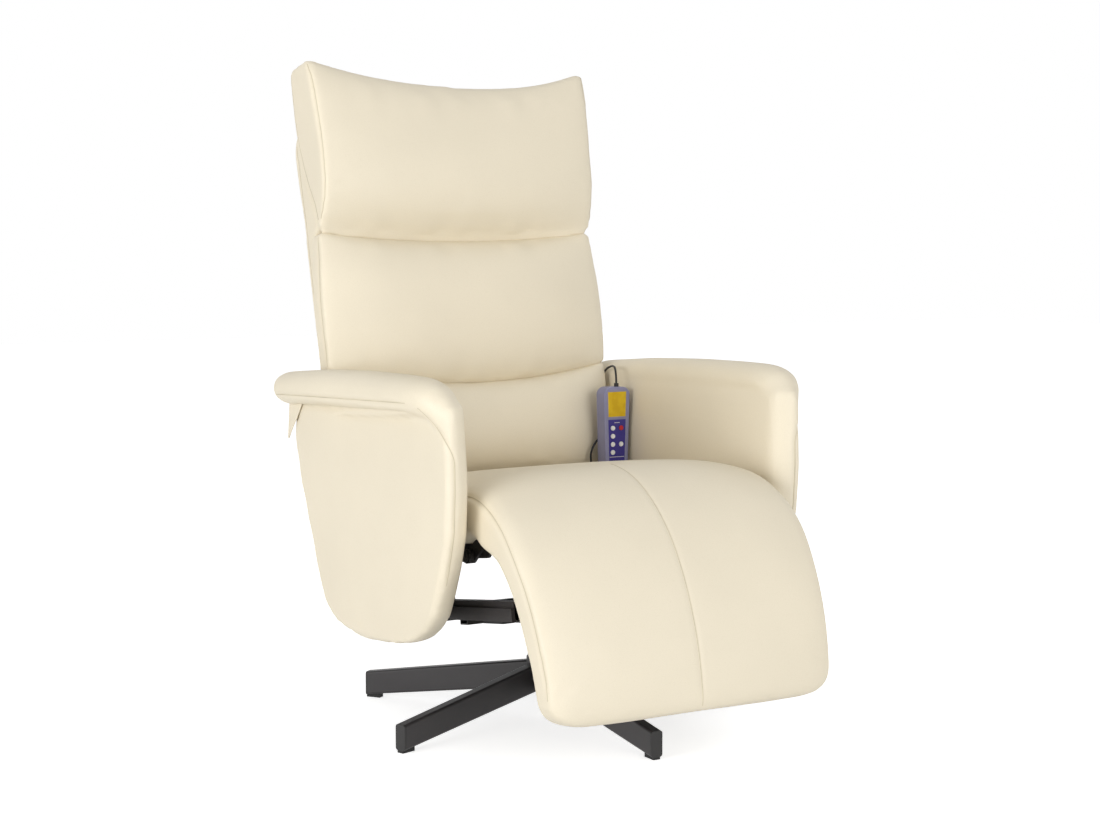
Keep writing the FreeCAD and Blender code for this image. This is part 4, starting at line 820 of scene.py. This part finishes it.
class RECLINER_OT_back(bpy.types.Operator):
    """Lumbar, middle and head cushions and the padded rear cover"""

    bl_idname = "recliner.back"
    bl_label = "Back"

    HALF_WIDTH = 0.264
    PILLOW_HALF_DEPTH = 0.03
    HEAD_HALF_DEPTH = 0.04
    HEAD_HELD_WIDTH = 0.262
    PILLOW_REAR = 0.040
    FOLD_DEPTH = 0.0007
    REAR_HALF_WIDTH = 0.2605
    REAR_HALF_DEPTH = 0.022
    HEAD_FRONT = [
        (0.405, 0.000), (0.4153, -0.005), (0.4278, -0.015), (0.4555, -0.0295), (0.4844, -0.038), (0.5146, -0.040),
        (0.5756, -0.0415), (0.6066, -0.040), (0.6377, -0.038), (0.6641, -0.034), (0.700, -0.024),
    ]
    HEAD_REAR = [
        (0.405, 0.010), (0.425, 0.012), (0.455, 0.023), (0.4845, 0.038), (0.520, 0.052), (0.561, 0.062),
        (0.610, 0.064), (0.670, 0.056), (0.700, 0.044),
    ]
    HEAD_HALF_WIDTH = [(0.405, 0.2642), (0.545, 0.2656), (0.6066, 0.2688), (0.6377, 0.2708), (0.700, 0.2730)]
    MIDDLE_HALF_WIDTH = [(0.0, 0.2706), (0.25, 0.2732), (0.47, 0.2738), (0.60, 0.2724), (0.85, 0.2682), (1.0, 0.2648)]
    LUMBAR_HALF_WIDTH = [(0.0, 0.2620), (0.7, 0.2650), (1.0, 0.2700)]

    def curve(self, rows, places):
        rows = np.array(rows)
        return np.interp(places, rows[:, 0], rows[:, 1])

    def side_seams(self, ups, rears):
        """One seam up each side of the back."""
        seams = []
        for sign in SIDES.values():
            starts = back_place(np.full_like(ups, sign * SIDE_LOOK_OUT), ups, rears)
            seams.append((starts, np.tile((-sign, 0.0, 0.0), (len(ups), 1)), 0.7 * settings().seam_depth, True))
        return seams

    def pillow(self, name, node, half_width, bottom, top, bottom_sag, top_sag, front, side_front, tuck):
        """A pillow between two sagging seams, its front panel wrapped round its sides, with a tucked-in foot."""
        piece = divided_block(name, 40)
        cube = read_points(piece)
        low = bottom - tuck
        half = (top - low) / 2
        box = rounded_box(cube, (self.HALF_WIDTH, half, self.PILLOW_HALF_DEPTH), (0.010, 0.006, 0.010))
        place = low + half + box[:, 1]
        share = np.clip((place - bottom) / (top - bottom), 0, 1)
        side = np.abs(box[:, 0]) / self.HALF_WIDTH
        level = (self.PILLOW_HALF_DEPTH - box[:, 2]) / (2 * self.PILLOW_HALF_DEPTH)
        puff = np.clip(1 - np.abs(2 * share - 1) ** 2.8, 0, 1) ** 0.6
        reach = front + (side_front - front) * side ** 4
        hollow = 0.014 * (1 - side ** 4)
        sag = bottom_sag + (top_sag - bottom_sag) * share
        up = place - sag * (1 - side ** 2)
        rear = self.PILLOW_REAR * level + (1 - level) * (hollow * (1 - puff) - reach * puff)
        write_points(piece, back_place(box[:, 0] / self.HALF_WIDTH * self.curve(half_width, share), up, rear))
        even_mesh(piece)
        points = read_points(piece)
        up, rear = back_measure(points)
        held = np.clip((rear - 0.010) / 0.008, 0, 1)
        held = np.maximum(held, np.clip((np.abs(points[:, 0]) - 0.252) / 0.006, 0, 1))
        stuff(piece, 0.4 * settings().swell, held)
        subdivide_once(piece)
        points = read_points(piece)
        up, rear = back_measure(points)
        share = np.clip((up - bottom) / (top - bottom), 0, 1)
        ups = np.arange(bottom + 0.010, top - 0.008, 0.001)
        seams = self.side_seams(ups, np.full_like(ups, 0.008))
        sew(piece, seams)
        facing = np.clip((0.004 - rear) / 0.010, 0, 1) * np.clip((0.24 - np.abs(points[:, 0])) / 0.05, 0, 1)
        sag = bottom_sag + (top_sag - bottom_sag) * share
        level = up + sag * (1 - (points[:, 0] / self.HALF_WIDTH) ** 2)
        near = bell(level, bottom, 0.035) + bell(level, top, 0.030)
        pucker(piece, near * facing, points[:, 0], self.FOLD_DEPTH)
        finish_cover(piece, MATERIALS["cream_leather"], (node,), "back")
        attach(stitches(name + "_thread", piece, seams), "back")

    def head(self):
        piece = divided_block("head_pillow", 40)
        cube = read_points(piece)
        bottom, top = 0.400, 0.698
        half = (top - bottom) / 2
        box = rounded_box(cube, (self.HALF_WIDTH, half, self.HEAD_HALF_DEPTH), (0.012, 0.013, 0.010))
        share = (box[:, 1] + half) / (2 * half)
        up = bottom + share * (top - bottom)
        side = np.abs(box[:, 0]) / self.HALF_WIDTH
        front = self.curve(self.HEAD_FRONT, up)
        rear = self.curve(self.HEAD_REAR, up)
        level = (self.HEAD_HALF_DEPTH - box[:, 2]) / (2 * self.HEAD_HALF_DEPTH)
        crown = np.sin(math.pi * np.clip(share, 0, 1)) * (1 - side ** 3)
        place = (front - 0.014 * crown) * (1 - level) + (rear + 0.010 * crown) * level
        sag = 0.015 + (0.038 - 0.015) * share
        seam_set = 0.016 * (1 - side ** 2) * bell(share, 0, 0.12)
        width = self.curve(self.HEAD_HALF_WIDTH, up) / self.HALF_WIDTH
        sink = sag * (1 - side ** np.where(box[:, 0] > 0, 2 + 0.9 * share, 2)) + 0.002 * share * (box[:, 0] > 0)
        write_points(piece, back_place(box[:, 0] * width, up - sink, place + seam_set))
        even_mesh(piece)
        points = read_points(piece)
        up, rear = back_measure(points)
        side = np.abs(points[:, 0]) / self.HEAD_HELD_WIDTH
        held = np.maximum(np.clip((side - 0.96) / 0.03, 0, 1), 0.75 * held_by(np.abs(up - 0.395), 0.02))
        stuff(piece, 0.4 * settings().swell, held)
        subdivide_once(piece)
        points = read_points(piece)
        up, rear = back_measure(points)
        ups = np.arange(bottom + 0.024, top - 0.012, 0.001)
        seams = self.side_seams(ups, self.curve(self.HEAD_FRONT, ups) + 0.005)
        seams += self.side_seams(ups, self.curve(self.HEAD_REAR, ups) - 0.010)
        sew(piece, seams)
        front = self.curve(self.HEAD_FRONT, up) + 0.005
        facing = np.clip((front - rear) / 0.006, 0, 1) * np.clip((0.23 - np.abs(points[:, 0])) / 0.06, 0, 1)
        level = up + 0.015 * (1 - (points[:, 0] / self.HALF_WIDTH) ** 2)
        near = bell(level, bottom, 0.035) + 0.8 * bell(level, 0.665, 0.05)
        pucker(piece, near * facing, points[:, 0], self.FOLD_DEPTH)
        finish_cover(piece, MATERIALS["cream_leather"], ("head_cushion",), "back")
        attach(stitches("head_thread", piece, seams), "back")

    def rear_panel(self):
        piece = divided_block("rear_panel", 40)
        cube = read_points(piece)
        bottom, top = -0.020, 0.590
        half = (top - bottom) / 2
        box = rounded_box(cube, (self.REAR_HALF_WIDTH, half, self.REAR_HALF_DEPTH), (0.012, 0.014, 0.012))
        up = bottom + half + box[:, 1]
        level = (box[:, 2] + self.REAR_HALF_DEPTH) / (2 * self.REAR_HALF_DEPTH)
        side = np.abs(box[:, 0]) / self.REAR_HALF_WIDTH
        rear = np.interp(
            up, [-0.020, 0.02, 0.181, 0.285, 0.400, 0.453, 0.515, 0.556, 0.590],
            [0.058, 0.068, 0.071, 0.075, 0.080, 0.083, 0.090, 0.092, 0.076],
        )
        front = np.interp(
            up, [-0.020, 0.396, 0.411, 0.426, 0.455, 0.4845, 0.52, 0.56, 0.590],
            [0.033, 0.034, 0.013, 0.011, 0.021, 0.033, 0.036, 0.044, 0.050],
        )
        crown = 0.010 * (1 - side ** 2) * np.sin(math.pi * (up - bottom) / (top - bottom))
        place = front * (1 - level) + (rear + crown) * level
        write_points(piece, back_place(box[:, 0], up, place))
        even_mesh(piece)
        points = read_points(piece)
        up, rear = back_measure(points)
        at_side = np.clip((np.abs(points[:, 0]) - 0.244) / 0.006, 0, 1)
        held = np.maximum(at_side, np.clip((0.062 - rear) / 0.006, 0, 1))
        stuff(piece, 0.25 * settings().swell, held)
        subdivide_once(piece)
        ups = np.arange(0.0, 0.570, 0.001)
        edge = self.curve([(-0.02, 0.052), (0.18, 0.060), (0.40, 0.066), (0.55, 0.074), (0.59, 0.066)], ups)
        seams = self.side_seams(ups, edge)
        sew(piece, seams)
        finish_cover(piece, MATERIALS["cream_leather"], ("back_cover",), "back")
        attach(stitches("rear_panel_thread", piece, seams), "back")

    def execute(self, context):
        lumbar = (-0.012, 0.168, 0.0, 0.028, 0.026, 0.006, 0.040)
        self.pillow("lumbar_pillow", "lumbar_cushion", self.LUMBAR_HALF_WIDTH, *lumbar)
        middle = (0.164, 0.405, 0.028, 0.015, 0.032, 0.004, 0.0)
        self.pillow("middle_pillow", "middle_cushion", self.MIDDLE_HALF_WIDTH, *middle)
        self.head()
        self.rear_panel()
        return {"FINISHED"}


class RECLINER_OT_arms(bpy.types.Operator):
    """Padded arms, each with a rolled top that runs on as a border down its front"""

    bl_idname = "recliner.arms"
    bl_label = "Arms"

    MIDDLE = 0.295
    HALF_THICKNESS = 0.023
    HALF_LENGTH = 0.28
    HALF_HEIGHT = 0.19
    EDGE_ROUND = 0.014
    BOTTOM = 0.152
    HEIGHT = 0.394
    NOSE_FALL = 0.020
    ROLL_FALL = 0.008
    BELLY = 0.004
    LOOK_OUT = 0.45
    NOSE_LOOK_OUT = 0.2
    TAB_TOP = 0.514
    TAB_DROP = 0.066
    TAB_REAR = 0.3055
    TAB_THICKNESS = 0.0018
    ROLL = [
        (0.332, 0.532, 0.035, 0.027, 0.313),
        (0.285, 0.534, 0.037, 0.0285, 0.313),
        (0.150, 0.5435, 0.037, 0.0295, 0.313),
        (0.000, 0.548, 0.037, 0.031, 0.313),
        (-0.120, 0.550, 0.037, 0.0305, 0.313),
        (-0.190, 0.551, 0.037, 0.029, 0.312),
        (-0.223, 0.546, 0.034, 0.027, 0.310),
        (-0.243, 0.515, 0.021, 0.024, 0.301),
        (-0.240, 0.480, 0.015, 0.013, 0.298),
        (-0.225, 0.440, 0.010, 0.007, 0.296),
    ]
    FRONT = [
        (0.154, 0.030), (0.157, -0.016), (0.162, -0.056), (0.167, -0.090), (0.172, -0.127), (0.183, -0.158),
        (0.201, -0.188), (0.225, -0.214), (0.264, -0.233), (0.300, -0.249), (0.350, -0.265), (0.420, -0.270),
        (0.535, -0.266),
    ]
    REAR = [
        (0.154, 0.050), (0.158, 0.096), (0.162, 0.115), (0.167, 0.132), (0.172, 0.147), (0.180, 0.162),
        (0.193, 0.180), (0.223, 0.199), (0.254, 0.216), (0.286, 0.228), (0.317, 0.246), (0.349, 0.259),
        (0.381, 0.277), (0.414, 0.286), (0.445, 0.299), (0.470, 0.299), (0.497, 0.290), (0.535, 0.292),
    ]

    def edge(self, rows, heights):
        rows = np.array(rows)
        return np.interp(heights, rows[:, 0], rows[:, 1])

    def slab(self):
        """The arm's flat body, by its front and rear edge at each height; its nose falls back to the inside."""
        piece = divided_block("arm_right", 48)
        cube = read_points(piece)
        box = rounded_box(cube, (self.HALF_THICKNESS, self.HALF_LENGTH, self.HALF_HEIGHT), (self.EDGE_ROUND,) * 3)
        share = (box[:, 2] + self.HALF_HEIGHT) / (2 * self.HALF_HEIGHT)
        z = self.BOTTOM + share * self.HEIGHT
        outward = (box[:, 0] + self.HALF_THICKNESS) / (2 * self.HALF_THICKNESS)
        front = self.edge(self.FRONT, z) + self.NOSE_FALL * (1 - outward) ** 2
        rear = self.edge(self.REAR, z)
        y = (front + rear) / 2 + box[:, 1] / self.HALF_LENGTH * (rear - front) / 2
        belly = np.clip(1 - (box[:, 1] / self.HALF_LENGTH) ** 2, 0, 1) * np.clip(1 - (2 * share - 1) ** 2, 0, 1)
        x = self.MIDDLE + box[:, 0] + np.sign(box[:, 0]) * self.BELLY * belly
        x = np.where(box[:, 0] < 0, x + 0.004 * np.clip((z - 0.44) / 0.09, 0, 1), x)
        write_points(piece, np.stack([x, y, z], axis=1))
        return piece

    def roll(self):
        """The rolled top and front border, swept along their line with a narrowing section."""
        piece = divided_block("arm_roll", 44)
        tube = round_tube(read_points(piece))
        rows = np.array(self.ROLL)
        length = np.concatenate([[0], np.cumsum(np.hypot(np.diff(rows[:, 0]), np.diff(rows[:, 1])))])
        place = (tube[:, 1] + 1) / 2 * length[-1]
        grid = np.linspace(0, length[-1], 400)
        smooth = []
        for column in range(rows.shape[1]):
            values = np.interp(grid, length, rows[:, column])
            kernel = np.hanning(41)
            padded = np.concatenate([np.full(20, values[0]), values, np.full(20, values[-1])])
            smooth.append(np.convolve(padded, kernel / kernel.sum(), "valid"))
        line_y, line_z, half_x, half_n, middle_x = smooth
        way = np.arctan2(np.gradient(line_z), np.gradient(line_y))
        y = np.interp(place, grid, line_y)
        z = np.interp(place, grid, line_z)
        angle = np.interp(place, grid, np.unwrap(way))
        end = np.sqrt(np.clip(1 - (2 * np.abs(place / length[-1] - 0.5)) ** 50, 0.12, 1))
        out = tube[:, 2] * np.interp(place, grid, half_n) * end
        x = np.interp(place, grid, middle_x) + tube[:, 0] * np.interp(place, grid, half_x) * end
        skew = self.ROLL_FALL * np.clip(-tube[:, 0], 0, 1) * np.clip((-0.14 - y) / 0.07, 0, 1)
        write_points(piece, np.stack([x, y + out * np.sin(angle) + skew, z - out * np.cos(angle)], axis=1))
        return piece

    def seams(self, sign):
        """The lip's thread, the crease and fold under it, and the thread that turns from the lip down the nose."""
        depth = settings().seam_depth
        seams = []
        # Each depth share also sets how much shade sew paints into the seam; the deep crease under the lip gets the
        # most painted shade.
        for first, last, height, slope, share, shown in (
            (0.302, -0.188, 0.5355, -0.040, 0.7, True),
            (0.290, -0.180, 0.5182, -0.0489, 1.9, False),
            (0.120, -0.172, 0.508, -0.054, 0.8, False),
        ):
            y = np.arange(first, last, -0.001)
            starts = np.stack([np.full_like(y, sign * self.LOOK_OUT), y, height + slope * y], axis=1)
            seams.append((starts, np.tile((-sign, 0.0, 0.0), (len(y), 1)), share * depth, shown))
        z = np.arange(0.538, 0.275, -0.001)
        turn = np.clip((z - 0.455) / 0.085, 0, 1)
        x = 0.306 + 0.034 * turn ** 1.6
        y = self.edge(self.FRONT, z) + 0.052 * turn ** 1.6
        angle = np.radians(10 + 60 * turn)
        ways = np.stack([-sign * np.sin(angle), np.cos(angle), np.zeros_like(z)], axis=1)
        nose = np.stack([sign * x, y, z], axis=1)
        seams.append((nose - self.NOSE_LOOK_OUT * ways, ways, 0.6 * depth, True))
        return seams

    def dress(self, name, arm, sign):
        """The arm's thread, and the loose corner of its outer cover under the roll's rear end."""
        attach(stitches(f"arm_{name}_thread", arm, self.seams(sign)), "seat")
        deselect()
        bpy.ops.mesh.primitive_grid_add(x_subdivisions=10, y_subdivisions=16, size=2)
        tab = bpy.context.active_object
        tab.name = f"arm_{name}_tab"
        tab.data.name = tab.name
        grid = read_points(tab)
        down = (1 - grid[:, 1]) / 2
        front = np.interp(down, [0, 0.45, 0.70, 1], [0.248, 0.271, 0.287, 0.3025])
        y = front + (self.TAB_REAR - front) * (grid[:, 0] + 1) / 2
        x = 0.3205 + 0.003 * down
        write_points(tab, np.stack([sign * x, y, self.TAB_TOP - self.TAB_DROP * down], axis=1))
        wall = tab.modifiers.new("Wall", "SOLIDIFY")
        wall.thickness = self.TAB_THICKNESS
        wall.offset = 0
        apply_modifier(tab, wall)
        bpy.ops.object.mode_set(mode="EDIT")
        bpy.ops.mesh.select_all(action="SELECT")
        bpy.ops.mesh.normals_make_consistent(inside=False)
        bpy.ops.object.mode_set(mode="OBJECT")
        subdivide_once(tab)
        bpy.ops.object.shade_smooth()
        tab.data.materials.append(MATERIALS["cream_leather"])
        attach(tab, "seat")

    def execute(self, context):
        slab = self.slab()
        roll = self.roll()
        activate(slab)
        roll.select_set(True)
        bpy.ops.object.join()
        bpy.ops.object.mode_set(mode="EDIT")
        bpy.ops.mesh.select_all(action="SELECT")
        bpy.ops.mesh.normals_make_consistent(inside=False)
        bpy.ops.object.mode_set(mode="OBJECT")
        even_mesh(slab)
        smooth_points(slab, 1)
        points = read_points(slab)
        held = np.clip(1 - np.abs(points[:, 2] - 0.517) / 0.02, 0, 1) * (points[:, 0] > 0.3)
        stuff(slab, 0.3 * settings().swell, np.maximum(held, 0.25))
        subdivide_once(slab)
        sew(slab, self.seams(1))
        activate(slab)
        bpy.ops.object.duplicate()
        mirrored = context.active_object
        mirrored.name = "arm_left"
        mirrored.data.name = "arm_left"
        write_points(mirrored, read_points(mirrored) * np.array([-1, 1, 1]))
        activate(mirrored)
        bpy.ops.object.mode_set(mode="EDIT")
        bpy.ops.mesh.select_all(action="SELECT")
        bpy.ops.mesh.flip_normals()
        bpy.ops.object.mode_set(mode="OBJECT")
        for name in SIDES:
            nodes = [f"{node}_{name}" for node in ("arm_inner_pad", "arm_outer_pad", "arm_roll", "arm_board")]
            piece = finish_cover(bpy.data.objects["arm_" + name], MATERIALS["cream_leather"], nodes, "seat")
            self.dress(name, piece, SIDES[name])
        return {"FINISHED"}


class RECLINER_OT_handset(bpy.types.Operator):
    """Marks on the handset's key panel"""

    bl_idname = "recliner.handset"
    bl_label = "Handset marks"

    def execute(self, context):
        low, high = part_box("handset_panel")
        middle = (low[0] + high[0]) / 2
        for index, (drop, width) in enumerate(((0.0055, 0.011), (0.066, 0.030))):
            deselect()
            bpy.ops.mesh.primitive_cube_add(size=1, location=(middle, low[1] - 0.00005, high[2] - drop))
            mark = context.active_object
            mark.name = f"panel_rule_{index + 1}"
            mark.dimensions = (width, 0.0003, 0.0008)
            bpy.ops.object.transform_apply(location=True, rotation=True, scale=True)
            modifier = mark.modifiers.new("Edge", "BEVEL")
            modifier.width = 0.0001
            modifier.segments = 2
            apply_modifier(mark, modifier)
            mark.data.materials.append(MATERIALS["white_key"])
            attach(mark, "seat")
        return {"FINISHED"}


class RECLINER_PT_panel(bpy.types.Panel):
    """Settings and operators in the sidebar"""

    bl_label = "Massage recliner"
    bl_idname = "RECLINER_PT_panel"
    bl_space_type = "VIEW_3D"
    bl_region_type = "UI"
    bl_category = "Recliner"

    def draw(self, context):
        layout = self.layout
        for name in ReclinerSettings.__annotations__:
            layout.prop(context.scene.recliner, name)
        for operator in OPERATORS:
            layout.operator(operator.bl_idname)


OPERATORS = (
    RECLINER_OT_stage,
    RECLINER_OT_metalwork,
    RECLINER_OT_cord,
    RECLINER_OT_seat,
    RECLINER_OT_back,
    RECLINER_OT_arms,
    RECLINER_OT_handset,
)
CLASSES = (ReclinerSettings, *OPERATORS, RECLINER_PT_panel)


def register():
    for cls in CLASSES:
        bpy.utils.register_class(cls)
    bpy.types.Scene.recliner = PointerProperty(type=ReclinerSettings)


def unregister():
    del bpy.types.Scene.recliner
    for cls in reversed(CLASSES):
        bpy.utils.unregister_class(cls)


def main():
    register()
    bpy.ops.recliner.stage()
    bpy.ops.recliner.metalwork()
    bpy.ops.recliner.cord()
    bpy.ops.recliner.seat()
    bpy.ops.recliner.back()
    bpy.ops.recliner.arms()
    bpy.ops.recliner.handset()


if __name__ == "__main__":
    main()
